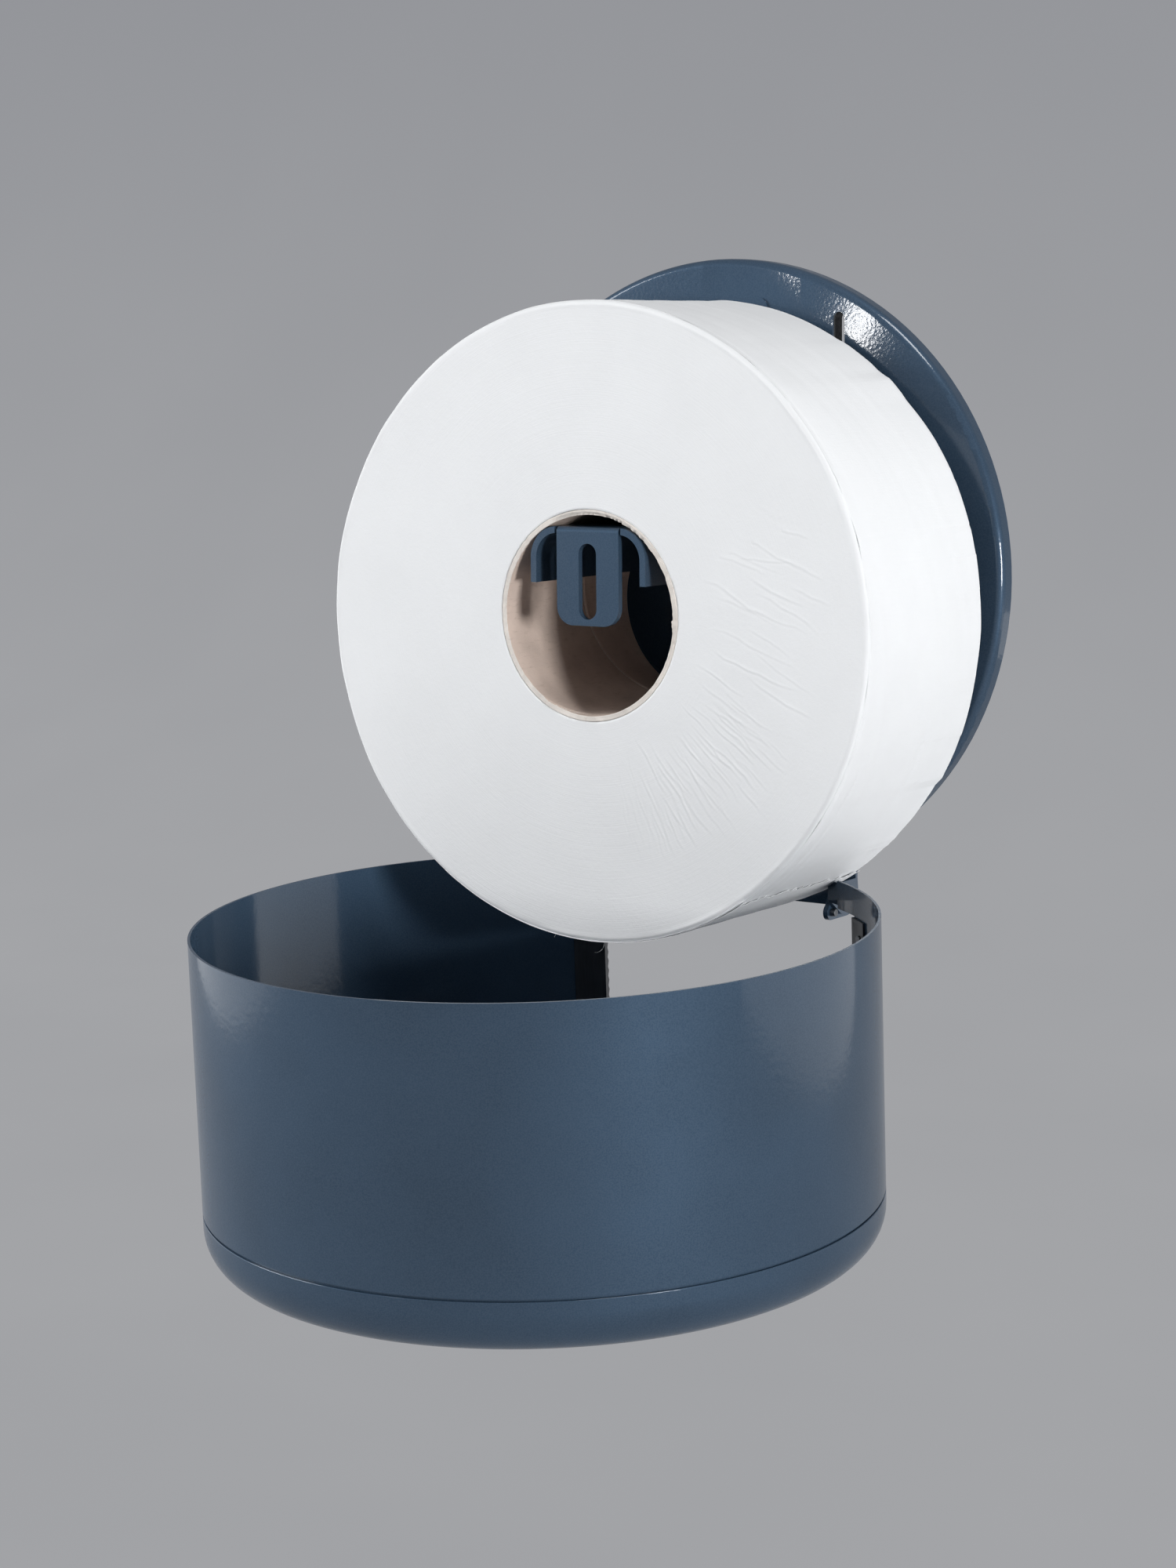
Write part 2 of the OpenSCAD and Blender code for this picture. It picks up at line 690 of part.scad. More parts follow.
wall_plate();
mount_spacers();
hinge_bracket();
hinge_bracket_rivets();
hinge_pins();
stop_pins();
roll_holder();
roll_holder_rivets();
cover_shell();
cover_cap();
joint_ring();
cover_ear_left();
cover_ear_right();
tear_strip_left();
tear_strip_right();
tear_strip_rivets();
lock_housing();
lock_washer();
lock_nut();
lock_plug();
lock_tongue();
lock_screw();
roll_core();
paper_roll();
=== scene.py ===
"""Looks of a jumbo toilet roll dispenser whose drum cover hangs open on its hinge.

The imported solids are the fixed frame. This script adds procedural finishes, softened sheet edges, a wound
paper roll with creases and a loose end, a spiral-wound card core, lint, a studio and the camera. Lengths are
metres, +Z is up, the wall plane is y = 0 and the object stands out towards -Y. The roll and its core are laid
out in millimetres round their own axis, with y = 0 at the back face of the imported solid.
"""
import logging
import math
from dataclasses import dataclass
from enum import Enum
from typing import Callable, Iterable, Sequence

import bpy
import numpy as np
from mathutils import Matrix, Vector


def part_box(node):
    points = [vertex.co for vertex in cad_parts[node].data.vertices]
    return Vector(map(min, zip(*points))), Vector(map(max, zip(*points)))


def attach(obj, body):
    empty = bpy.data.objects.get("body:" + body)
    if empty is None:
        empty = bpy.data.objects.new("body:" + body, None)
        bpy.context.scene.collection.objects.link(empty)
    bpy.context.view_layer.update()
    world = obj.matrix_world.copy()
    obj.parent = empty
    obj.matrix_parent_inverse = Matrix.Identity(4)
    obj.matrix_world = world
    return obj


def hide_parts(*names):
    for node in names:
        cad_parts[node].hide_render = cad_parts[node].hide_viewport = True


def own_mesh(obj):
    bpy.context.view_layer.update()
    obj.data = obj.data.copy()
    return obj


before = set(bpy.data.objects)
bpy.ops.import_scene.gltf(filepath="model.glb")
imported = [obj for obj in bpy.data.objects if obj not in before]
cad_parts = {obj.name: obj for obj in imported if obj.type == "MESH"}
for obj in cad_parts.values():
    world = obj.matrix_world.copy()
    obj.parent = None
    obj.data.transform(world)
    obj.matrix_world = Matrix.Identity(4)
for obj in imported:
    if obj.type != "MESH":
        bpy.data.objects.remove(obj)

LOG = logging.getLogger("dispenser")
MM = 0.001
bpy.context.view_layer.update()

Colour = tuple[float, float, float]
Triple = tuple[float, float, float]
Span = tuple[float, float]
Box = tuple[Vector, Vector]
Level = np.ndarray | float
Curve = Callable[[np.ndarray], np.ndarray]
Socket = bpy.types.NodeSocket


class Slot(Enum):
    """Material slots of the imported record."""

    COAT = "coat"
    ZINC = "zinc"
    STEEL = "steel"
    LOCK = "lock"
    SPACER = "spacer"
    CARD = "card"
    PAPER = "paper"


class Body(Enum):
    """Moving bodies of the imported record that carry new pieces."""

    ROLL = "roll"


# ---------------------------------------------------------------- shader graphs
def shade(colour: Colour, factor: float) -> Colour:
    """A colour made darker or lighter by a factor, up to full white."""
    return tuple(min(1.0, c * factor) for c in colour)


class Graph:
    """Builder for the node tree of one procedural material."""

    NOISE_BAND: Span = (0.3, 0.7)

    def __init__(self, name: str) -> None:
        """Starts a tree with a Principled shader on its output.

        Args:
            name: name of the material.
        """
        self.material = bpy.data.materials.new(name)
        self.material.use_nodes = True
        self.tree = self.material.node_tree
        self.tree.nodes.clear()
        self.out = self.add("ShaderNodeOutputMaterial")
        self.shader = self.add("ShaderNodeBsdfPrincipled")
        self.join(self.shader.outputs["BSDF"], self.out.inputs["Surface"])
        coords = self.add("ShaderNodeTexCoord")
        self.place = coords.outputs["Object"]
        self.normal = coords.outputs["Normal"]

    def add(self, kind: str, **settings: object) -> bpy.types.Node:
        """Adds a node.

        Args:
            kind: Blender's node type name.
            **settings: attributes to set on the node.

        Returns:
            The new node.
        """
        node = self.tree.nodes.new(kind)
        for key, value in settings.items():
            setattr(node, key, value)
        return node

    def join(self, source: Socket, target: Socket) -> None:
        """Links an output socket to an input socket."""
        self.tree.links.new(source, target)

    def constant(self, **values: object) -> None:
        """Writes constants on the shader's own sockets; an underscore stands for a space."""
        for key, value in values.items():
            self.shader.inputs[key.replace("_", " ")].default_value = value

    def stretch(self, scale: Triple, turn: Triple = (0.0, 0.0, 0.0)) -> Socket:
        """Scaled object coordinates.

        Args:
            scale: factor along each axis.
            turn: rotation in degrees.

        Returns:
            The vector socket.
        """
        node = self.add("ShaderNodeMapping")
        node.inputs["Rotation"].default_value = tuple(math.radians(a) for a in turn)
        node.inputs["Scale"].default_value = scale
        self.join(self.place, node.inputs["Vector"])
        return node.outputs["Vector"]

    def parts(self, vector: Socket) -> list[Socket]:
        """Splits a vector.

        Args:
            vector: the vector socket.

        Returns:
            Its X, Y and Z sockets.
        """
        node = self.add("ShaderNodeSeparateXYZ")
        self.join(vector, node.inputs["Vector"])
        return [node.outputs[axis] for axis in "XYZ"]

    def noise(self, per_metre: float, detail: float = 2.0, rough: float = 0.5,
              vector: Socket | None = None) -> Socket:
        """Fractal noise in object space.

        Args:
            per_metre: features per metre.
            detail: number of octaves.
            rough: weight of the finer octaves.
            vector: coordinates to use in place of plain object space.

        Returns:
            The factor socket.
        """
        node = self.add("ShaderNodeTexNoise")
        node.inputs["Scale"].default_value = per_metre
        node.inputs["Detail"].default_value = detail
        node.inputs["Roughness"].default_value = rough
        self.join(vector or self.place, node.inputs["Vector"])
        return node.outputs["Fac"]

    def cells(self, per_metre: float) -> Socket:
        """Distance to the nearest of many scattered points, in object space.

        Args:
            per_metre: points per metre.

        Returns:
            The distance socket, in spacings of the points.
        """
        node = self.add("ShaderNodeTexVoronoi")
        node.inputs["Scale"].default_value = per_metre
        self.join(self.place, node.inputs["Vector"])
        return node.outputs["Distance"]

    def remap(self, value: Socket, band: Span, low: float = 0.0, high: float = 1.0) -> Socket:
        """Linear remap of a value, clamped at both ends.

        Args:
            value: the value socket.
            band: values that become low and high.
            low: result at the band's first value.
            high: result at the band's second value.

        Returns:
            The result socket.
        """
        node = self.add("ShaderNodeMapRange")
        for key, number in (("From Min", band[0]), ("From Max", band[1]), ("To Min", low), ("To Max", high)):
            node.inputs[key].default_value = number
        self.join(value, node.inputs["Value"])
        return node.outputs["Result"]

    def vary(self, noise: Socket, low: float = 0.0, high: float = 1.0) -> Socket:
        """Spreads the band in which fractal noise mostly lies from low to high."""
        return self.remap(noise, self.NOISE_BAND, low, high)

    def about(self, noise: Socket, middle: float, drop: float, rise: float) -> Socket:
        """Lets a value drift about a middle, as far down as drop and as far up as rise."""
        return self.vary(noise, middle - drop, middle + rise)

    def maths(self, operation: str, a: Socket | float, b: Socket | float = 0.0) -> Socket:
        """One arithmetic step.

        Args:
            operation: Blender's name of the operation.
            a: first socket or number.
            b: second socket or number, unused where the operation takes one.

        Returns:
            The result socket.
        """
        node = self.add("ShaderNodeMath", operation=operation)
        for socket, value in zip(node.inputs, (a, b)):
            if isinstance(value, (int, float)):
                socket.default_value = value
            else:
                self.join(value, socket)
        return node.outputs["Value"]

    def plus(self, a: Socket | float, b: Socket | float) -> Socket:
        """Sum of two sockets or numbers."""
        return self.maths("ADD", a, b)

    def minus(self, a: Socket | float, b: Socket | float) -> Socket:
        """Difference of two sockets or numbers."""
        return self.maths("SUBTRACT", a, b)

    def times(self, a: Socket | float, b: Socket | float) -> Socket:
        """Product of two sockets or numbers."""
        return self.maths("MULTIPLY", a, b)

    def reach(self, x: Socket, z: Socket) -> Socket:
        """Distance from the Y axis."""
        return self.maths("SQRT", self.plus(self.times(x, x), self.times(z, z)))

    def tint(self, factor: Socket, a: Colour | Socket, b: Colour | Socket) -> Socket:
        """Mixes two colours.

        Args:
            factor: share of the second colour.
            a: first colour or socket.
            b: second colour or socket.

        Returns:
            The colour socket.
        """
        node = self.add("ShaderNodeMix", data_type="RGBA")
        self.join(factor, node.inputs["Factor"])
        for socket, value in ((node.inputs[6], a), (node.inputs[7], b)):
            if isinstance(value, tuple):
                socket.default_value = (*value, 1.0)
            else:
                self.join(value, socket)
        return node.outputs[2]

    def drift(self, factor: Socket, colour: Colour, shades: Span) -> Socket:
        """A colour that drifts between two of its shades, as far as the factor says."""
        return self.tint(factor, shade(colour, shades[0]), shade(colour, shades[1]))

    def bump(self, height: Socket, depth: float, below: Socket | None = None) -> Socket:
        """Bump layer.

        Args:
            height: relief from 0 to 1.
            depth: its full height in metres.
            below: normal of the layer underneath.

        Returns:
            The normal socket.
        """
        node = self.add("ShaderNodeBump")
        node.inputs["Strength"].default_value = 1.0
        node.inputs["Distance"].default_value = depth
        self.join(height, node.inputs["Height"])
        if below is not None:
            self.join(below, node.inputs["Normal"])
        return node.outputs["Normal"]

    def surface(self, colour: Socket, rough: Socket, normal: Socket) -> bpy.types.Material:
        """Feeds the shader.

        Args:
            colour: base colour.
            rough: roughness.
            normal: normal with the finish's relief.

        Returns:
            The finished material.
        """
        for key, source in (("Base Color", colour), ("Roughness", rough), ("Normal", normal)):
            self.join(source, self.shader.inputs[key])
        return self.material


# ---------------------------------------------------------------- mesh helpers
WELD_GAP = 0.002 * MM
FLAT_ANGLE = math.radians(0.4)


def soften(obj: bpy.types.Object, width: float, segments: int, angle: float) -> None:
    """Rounds the sharp edges of a CAD node with modifiers only.

    Args:
        obj: the node's object, whose mesh stays as it is.
        width: bevel width in metres.
        segments: steps across the bevel.
        angle: smallest edge angle, in degrees, that gets a bevel.
    """
    weld = obj.modifiers.new("weld", "WELD")
    weld.merge_threshold = WELD_GAP
    planar = obj.modifiers.new("planar", "DECIMATE")
    planar.decimate_type = "DISSOLVE"
    planar.angle_limit = FLAT_ANGLE
    bevel = obj.modifiers.new("edge", "BEVEL")
    bevel.width = width
    bevel.segments = segments
    bevel.limit_method = "ANGLE"
    bevel.angle_limit = math.radians(angle)
    bevel.harden_normals = True
    bevel.miter_outer = "MITER_ARC"
    weighted = obj.modifiers.new("shade", "WEIGHTED_NORMAL")
    weighted.keep_sharp = True
    for polygon in obj.data.polygons:
        polygon.use_smooth = True


def piece_from(name: str, points: np.ndarray, faces: Iterable[Sequence[int]],
               materials: Sequence[bpy.types.Material], place: Triple = (0.0, 0.0, 0.0)) -> bpy.types.Object:
    """Makes a smooth-shaded mesh object.

    Args:
        name: object name.
        points: vertices, in metres, relative to place.
        faces: vertex indices of each face.
        materials: material slots.
        place: the object's origin in the row frame.

    Returns:
        The new object.
    """
    mesh = bpy.data.meshes.new(name)
    mesh.from_pydata(points.reshape(-1, 3).tolist(), [], [tuple(f) for f in faces])
    mesh.update()
    mesh.polygons.foreach_set("use_smooth", [True] * len(mesh.polygons))
    for material in materials:
        mesh.materials.append(material)
    obj = bpy.data.objects.new(name, mesh)
    obj.location = place
    bpy.context.scene.collection.objects.link(obj)
    return obj


def settle(obj: bpy.types.Object, body: Body) -> bpy.types.Object:
    """Puts a new piece on its body.

    Args:
        obj: the new piece.
        body: the body that carries it.

    Returns:
        The piece.
    """
    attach(obj, body.value)
    return obj


def back_middle(box: Box) -> Triple:
    """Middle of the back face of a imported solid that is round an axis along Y, at x = 0."""
    low, high = box
    return 0.0, high.y, (low.z + high.z) / 2


def round_size(box: Box) -> Span:
    """Outer radius and length of such a solid, in millimetres, to a hundredth."""
    low, high = box
    return round(high.x / MM, 2), round((high.y - low.y) / MM, 2)


def ring_faces(rows: int, columns: int, wrap_rows: bool, wrap_columns: bool = True) -> np.ndarray:
    """Quads of a grid of points.

    Args:
        rows: number of rows.
        columns: number of points in a row.
        wrap_rows: whether the last row joins the first.
        wrap_columns: whether the last column joins the first.

    Returns:
        Face indices, one quad per line.
    """
    r = np.arange(rows if wrap_rows else rows - 1)
    c = np.arange(columns if wrap_columns else columns - 1)
    rr, cc = np.meshgrid(r, c, indexing="ij")
    r2, c2 = (rr + 1) % rows, (cc + 1) % columns
    quads = np.stack([rr * columns + cc, rr * columns + c2, r2 * columns + c2, r2 * columns + cc], -1)
    return quads.reshape(-1, 4)


def ring(theta: np.ndarray, radius: Level, depth: Level) -> np.ndarray:
    """One row of points round an axis along Y.

    Args:
        theta: angles in radians.
        radius: distance from the axis, one for all or one per angle.
        depth: place along Y, one for all or one per angle.

    Returns:
        The points, one per angle.
    """
    r, y = (np.broadcast_to(np.asarray(v, float), theta.shape) for v in (radius, depth))
    return np.stack([r * np.cos(theta), y, r * np.sin(theta)], -1)


def signed_degrees(theta: np.ndarray) -> np.ndarray:
    """Angles in radians turned into degrees from -180 to 180."""
    return (np.degrees(theta) + 180.0) % 360.0 - 180.0


def ramp(value: Level, start: float, over: float) -> Level:
    """Goes from 0 at the start to 1 a stretch above it or, where the stretch is negative, below it."""
    return np.clip((value - start) / over, 0.0, 1.0)


def smooth_step(share: Level) -> Level:
    """Eases a share from 0 to 1 so that it is level at both ends."""
    return share * share * (3 - 2 * share)


def hump(value: Level, middle: Level, spread: float) -> Level:
    """Bell curve of height 1."""
    return np.exp(-(((value - middle) / spread) ** 2))


def smooth_noise(rng: np.random.Generator, knots: int) -> Curve:
    """A smooth closed curve of random values from -1 to 1.

    Args:
        rng: seeded generator.
        knots: number of random values round the circle.

    Returns:
        A function of an angle in radians.
    """
    values = rng.uniform(-1.0, 1.0, knots)

    def curve(angle: np.ndarray) -> np.ndarray:
        """Value of the curve.

        Args:
            angle: angles in radians.

        Returns:
            The value at each angle.
        """
        t = (np.asarray(angle) / (2 * math.pi)) % 1.0 * knots
        i = np.floor(t).astype(int)
        f = smooth_step(t - i)
        return values[i % knots] * (1 - f) + values[(i + 1) % knots] * f

    return curve


def blunt_noise(rng: np.random.Generator, corners: int) -> Curve:
    """Shallow flats with blunt corners between them, as on the handled edge of a roll.

    Args:
        rng: seeded generator.
        corners: number of corners round the circle.

    Returns:
        A function of an angle in radians, with values from -1 to 1.
    """
    at = np.sort(rng.uniform(0.0, 2 * math.pi, corners))
    values = rng.uniform(-1.0, 1.0, corners)

    def curve(angle: np.ndarray) -> np.ndarray:
        """Value at each angle."""
        return np.interp(np.asarray(angle) % (2 * math.pi), at, values, period=2 * math.pi)

    return curve


# ---------------------------------------------------------------- finishes
@dataclass(frozen=True)
class PowderCoat:
    """Blue-grey powder coat: a dull flaked body under a glossy skin with orange peel and dust nibs.

    A fall slope above 0 lets the sheet turn away past fall_radius from its middle, in the corner that the
    spans fall_up and fall_across mark off.
    """

    name: str = "powder_coat"
    colour: Colour = (0.039, 0.071, 0.116)
    shades: Span = (0.92, 1.08)
    clouds_per_metre: float = 22.0
    grain_colour: Colour = (0.1, 0.14, 0.19)
    grain_share: float = 0.2
    grain_per_metre: float = 1900.0
    roughness: float = 0.5
    wear: Span = (0.05, 0.05)
    wear_per_metre: float = 60.0
    flake: float = 0.3
    skin: float = 0.75
    skin_roughness: float = 0.1
    peel: float = 0.02 * MM
    peel_per_metre: float = 420.0
    nib_height: float = 0.06 * MM
    nibs_per_metre: float = 85.0
    nib_span: Span = (0.0, 0.035)
    fall_slope: float = 0.0
    fall_radius: float = 0.1045
    fall_bend: float = 0.005
    fall_up: Span = (0.02, 0.075)
    fall_across: Span = (-0.01, 0.035)
    slot: Slot = Slot.COAT

    def ease(self, g: Graph, normal: Socket) -> Socket:
        """Lets the pressed sheet fall away slightly towards the upper right of its rim.

        Args:
            g: graph of the material.
            normal: normal of the paint's texture.

        Returns:
            The normal with the fall added.
        """
        across, _, up = g.parts(g.place)
        past = g.maths("MAXIMUM", g.minus(g.reach(across, up), self.fall_radius), 0.0)
        start = g.maths("MINIMUM", past, self.fall_bend)
        bend = g.times(g.times(start, start), 1 / (2 * self.fall_bend))
        fall = g.plus(bend, g.minus(past, start))
        corner = g.times(g.remap(up, self.fall_up, 0.0, -1.0), g.remap(across, self.fall_across))
        return g.bump(g.times(fall, corner), self.fall_slope, normal)

    def material(self) -> bpy.types.Material:
        """Builds the coat.

        Returns:
            The material.
        """
        g = Graph(self.name)
        colour = g.drift(g.vary(g.noise(self.clouds_per_metre, 3.0)), self.colour, self.shades)
        grain = g.remap(g.noise(self.grain_per_metre, 1.0), (0.35, 0.65))
        colour = g.tint(g.times(grain, self.grain_share), colour, self.grain_colour)
        rough = g.about(g.noise(self.wear_per_metre), self.roughness, *self.wear)
        peel = g.bump(g.noise(self.peel_per_metre, 1.5, 0.45), self.peel)
        nibs = g.remap(g.cells(self.nibs_per_metre), self.nib_span, 1.0, 0.0)
        normal = g.bump(nibs, self.nib_height, peel)
        if self.fall_slope > 0.0:
            normal = self.ease(g, normal)
        g.join(normal, g.shader.inputs["Coat Normal"])
        g.constant(Coat_Weight=self.skin, Coat_Roughness=self.skin_roughness, Coat_IOR=1.5)
        g.constant(Metallic=self.flake, Specular_IOR_Level=0.0)
        return g.surface(colour, rough, normal)


@dataclass(frozen=True)
class ZincPlate:
    """Zinc plating on pins, rivets, nut and washer, slightly clouded, darkened as painted shade."""

    # painted shade: the plating gets a dark grey so that the hinge parts read as shadowed
    colour: Colour = (0.2, 0.21, 0.225)
    shades: Span = (0.82, 1.0)
    clouds_per_metre: float = 260.0
    roughness: float = 0.36
    wear: Span = (0.08, 0.12)
    wear_per_metre: float = 700.0
    relief: float = 0.01 * MM
    relief_per_metre: float = 1500.0
    slot: Slot = Slot.ZINC

    def material(self) -> bpy.types.Material:
        """Builds the plating.

        Returns:
            The material.
        """
        g = Graph("zinc_plate")
        colour = g.drift(g.vary(g.noise(self.clouds_per_metre, 4.0, 0.6)), self.colour, self.shades)
        rough = g.about(g.noise(self.wear_per_metre), self.roughness, *self.wear)
        g.constant(Metallic=1.0)
        return g.surface(colour, rough, g.bump(g.noise(self.relief_per_metre), self.relief))


@dataclass(frozen=True)
class BrushedSteel:
    """Tear strip of spring steel, brushed along its length, darkened as painted shade."""

    # painted shade: the steel gets a near-black grey so that the strip reads as shadowed
    colour: Colour = (0.1, 0.104, 0.11)
    shades: Span = (0.8, 1.0)
    roughness: float = 0.4
    wear: Span = (0.08, 0.1)
    brush_per_metre: Triple = (2600.0, 2600.0, 60.0)
    brush_depth: float = 0.008 * MM
    slot: Slot = Slot.STEEL

    def material(self) -> bpy.types.Material:
        """Builds the brushed steel.

        Returns:
            The material.
        """
        g = Graph("brushed_steel")
        lines = g.noise(1.0, 2.0, 0.6, g.stretch(self.brush_per_metre))
        colour = g.drift(g.vary(lines), self.colour, self.shades)
        g.constant(Metallic=1.0)
        return g.surface(colour, g.about(lines, self.roughness, *self.wear), g.bump(lines, self.brush_depth))


@dataclass(frozen=True)
class LockChrome:
    """Satin chrome of the cam lock with key scratches."""

    colour: Colour = (0.63, 0.64, 0.65)
    shades: Span = (0.88, 1.0)
    roughness: float = 0.2
    wear: Span = (0.05, 0.12)
    smears_per_metre: float = 240.0
    scratches_per_metre: Triple = (300.0, 5200.0, 300.0)
    scratch_turn: float = 28.0
    scratch_depth: float = 0.006 * MM
    slot: Slot = Slot.LOCK

    def material(self) -> bpy.types.Material:
        """Builds the chrome.

        Returns:
            The material.
        """
        g = Graph("lock_chrome")
        scratches = g.noise(1.0, 3.0, 0.7, g.stretch(self.scratches_per_metre, (0.0, 0.0, self.scratch_turn)))
        colour = g.drift(g.remap(scratches, (0.35, 0.65)), self.colour, self.shades)
        rough = g.about(g.noise(self.smears_per_metre, 3.0), self.roughness, *self.wear)
        g.constant(Metallic=1.0)
        return g.surface(colour, rough, g.bump(scratches, self.scratch_depth))


@dataclass(frozen=True)
class SpacerPlastic:
    """Black moulded spacer with a fine eroded texture."""

    colour: Colour = (0.028, 0.03, 0.032)
    shades: Span = (1.0, 1.5)
    clouds_per_metre: float = 120.0
    roughness: float = 0.62
    wear: Span = (0.1, 0.1)
    wear_per_metre: float = 500.0
    relief: float = 0.04 * MM
    relief_per_metre: float = 2200.0
    slot: Slot = Slot.SPACER

    def material(self) -> bpy.types.Material:
        """Builds the moulded plastic.

        Returns:
            The material.
        """
        g = Graph("spacer_plastic")
        colour = g.drift(g.vary(g.noise(self.clouds_per_metre, 3.0)), self.colour, self.shades)
        rough = g.about(g.noise(self.wear_per_metre), self.roughness, *self.wear)
        return g.surface(colour, rough, g.bump(g.noise(self.relief_per_metre), self.relief))


@dataclass(frozen=True)
class Cardboard:
    """Grey-brown core board with long fibres and dark flecks."""

    name: str = "core_board"
    colour: Colour = (0.66, 0.54, 0.47)
    fleck: Colour = (0.34, 0.25, 0.2)
    fleck_span: Span = (0.56, 0.74)
    fleck_share: float = 0.32
    shades: Span = (0.86, 1.08)
    clouds_per_metre: float = 55.0
    roughness: float = 0.82
    wear: Span = (0.08, 0.1)
    fibres_per_metre: Triple = (900.0, 160.0, 900.0)
    fibre_turn: float = 22.0
    fibre_height: float = 0.05 * MM
    pulp_height: float = 0.08 * MM
    pulp_per_metre: float = 1300.0
    slot: Slot = Slot.CARD

    def material(self) -> bpy.types.Material:
        """Builds the board.

        Returns:
            The material.
        """
        g = Graph(self.name)
        board = g.drift(g.vary(g.noise(self.clouds_per_metre, 4.0, 0.6)), self.colour, self.shades)
        fibre = g.noise(1.0, 3.0, 0.7, g.stretch(self.fibres_per_metre, (0.0, self.fibre_turn, 0.0)))
        colour = g.tint(g.remap(fibre, self.fleck_span, 0.0, self.fleck_share), board, self.fleck)
        rough = g.about(fibre, self.roughness, *self.wear)
        fibres = g.bump(fibre, self.fibre_height)
        normal = g.bump(g.noise(self.pulp_per_metre, 3.0, 0.6), self.pulp_height, fibres)
        g.constant(Specular_IOR_Level=0.25)
        return g.surface(colour, rough, normal)


@dataclass(frozen=True)
class Tissue:
    """White tissue: wound plies show as rings on the faces, creping runs across the web on the side; both
    carry painted shade.
    """

    colour: Colour = (0.875, 0.888, 0.902)
    shades: Span = (0.985, 1.01)
    clouds_per_metre: float = 40.0
    # painted shade: a darker grey mixed in along the ply rings and the creping
    ply_shade: Colour = (0.8, 0.81, 0.83)
    ply_shade_share: float = 0.1
    roughness: float = 0.9
    wear: Span = (0.06, 0.06)
    face_span: Span = (0.5, 0.8)
    plies_per_metre: float = 2400.0
    ply_waves_per_metre: float = 26.0
    crepe_per_metre: Triple = (1500.0, 90.0, 1500.0)
    ply_height: float = 0.06 * MM
    fluff_height: float = 0.08 * MM
    fluff_per_metre: float = 700.0
    slot: Slot = Slot.PAPER

    def relief(self, g: Graph) -> Socket:
        """Rings on the faces and creping on the side, round an axis that runs along Y.

        Args:
            g: graph of the material.

        Returns:
            The relief from 0 to 1.
        """
        x, _, z = g.parts(g.place)
        rings = g.add("ShaderNodeCombineXYZ")
        g.join(g.times(g.reach(x, z), self.plies_per_metre), rings.inputs["X"])
        g.join(g.times(x, self.ply_waves_per_metre), rings.inputs["Y"])
        g.join(g.times(z, self.ply_waves_per_metre), rings.inputs["Z"])
        plies = g.noise(1.0, 2.0, 0.6, rings.outputs["Vector"])
        crepe = g.noise(1.0, 2.0, 0.55, g.stretch(self.crepe_per_metre))
        _, facing, _ = g.parts(g.normal)
        on_face = g.remap(g.maths("ABSOLUTE", facing), self.face_span)
        return g.plus(g.times(plies, on_face), g.times(crepe, g.minus(1.0, on_face)))

    def material(self) -> bpy.types.Material:
        """Builds the tissue.

        Returns:
            The material.
        """
        g = Graph("tissue")
        relief = self.relief(g)
        colour = g.drift(g.vary(g.noise(self.clouds_per_metre, 3.0)), self.colour, self.shades)
        # painted shade: the relief tints the tissue darker, as if shade lay in its rings and creping
        colour = g.tint(g.times(relief, self.ply_shade_share), colour, self.ply_shade)
        rough = g.about(relief, self.roughness, *self.wear)
        fluff = g.bump(g.noise(self.fluff_per_metre, 3.0, 0.65), self.fluff_height)
        g.constant(Specular_IOR_Level=0.15, Sheen_Weight=0.08, Sheen_Roughness=0.5)
        return g.surface(colour, rough, g.bump(relief, self.ply_height, fluff))


class Palette:
    """Builds each finish once and hands it out by slot."""

    def __init__(self) -> None:
        """Makes every material of the object."""
        finishes = (PowderCoat(), ZincPlate(), BrushedSteel(), LockChrome(), SpacerPlastic(), Cardboard(),
                    Tissue())
        self.by_slot = {finish.slot: finish.material() for finish in finishes}
        plate_coat = PowderCoat("plate_coat", peel=0.034 * MM, peel_per_metre=760.0, fall_slope=0.22)
        self.plate_coat = plate_coat.material()
        card_edge = Cardboard("core_edge", (0.8, 0.75, 0.7), (0.5, 0.38, 0.32), roughness=0.88)
        self.card_edge = card_edge.material()

    def finish(self, nodes: Iterable[str], slot: Slot, edge: float, segments: int = 2,
               angle: float = 32.0) -> list[bpy.types.Object]:
        """Gives carried-over CAD nodes their finish and rounds their edges.

        Args:
            nodes: names of the CAD nodes.
            slot: the finish they take.
            edge: bevel width in metres.
            segments: steps across the bevel.
            angle: smallest edge angle, in degrees, that gets a bevel.

        Returns:
            The nodes' objects.
        """
        pieces = [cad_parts[node] for node in nodes]
        for piece in pieces:
            piece.data.materials.clear()
            piece.data.materials.append(self.by_slot[slot])
            soften(piece, edge, segments, angle)
        return pieces


# ---------------------------------------------------------------- sub-assemblies
@dataclass
class WallUnit:
    """Wall plate, spacers, hinge bracket and roll holder."""

    sheet_edge: float = 0.35 * MM
    bracket_edge: float = 0.3 * MM
    rivet_edge: float = 0.15 * MM

    def dress(self, palette: Palette) -> list[bpy.types.Object]:
        """Finishes the fixed nodes.

        Args:
            palette: the finishes.

        Returns:
            The dressed pieces.
        """
        pieces = palette.finish(("wall_plate", "roll_holder"), Slot.COAT, self.sheet_edge, 3)
        pieces[0].data.materials[0] = palette.plate_coat
        pieces += palette.finish(("hinge_bracket",), Slot.COAT, self.bracket_edge)
        pieces += palette.finish(("mount_spacers",), Slot.SPACER, self.bracket_edge)
        small = ("hinge_bracket_rivets", "roll_holder_rivets", "hinge_pins", "stop_pins")
        return pieces + palette.finish(small, Slot.ZINC, self.rivet_edge)


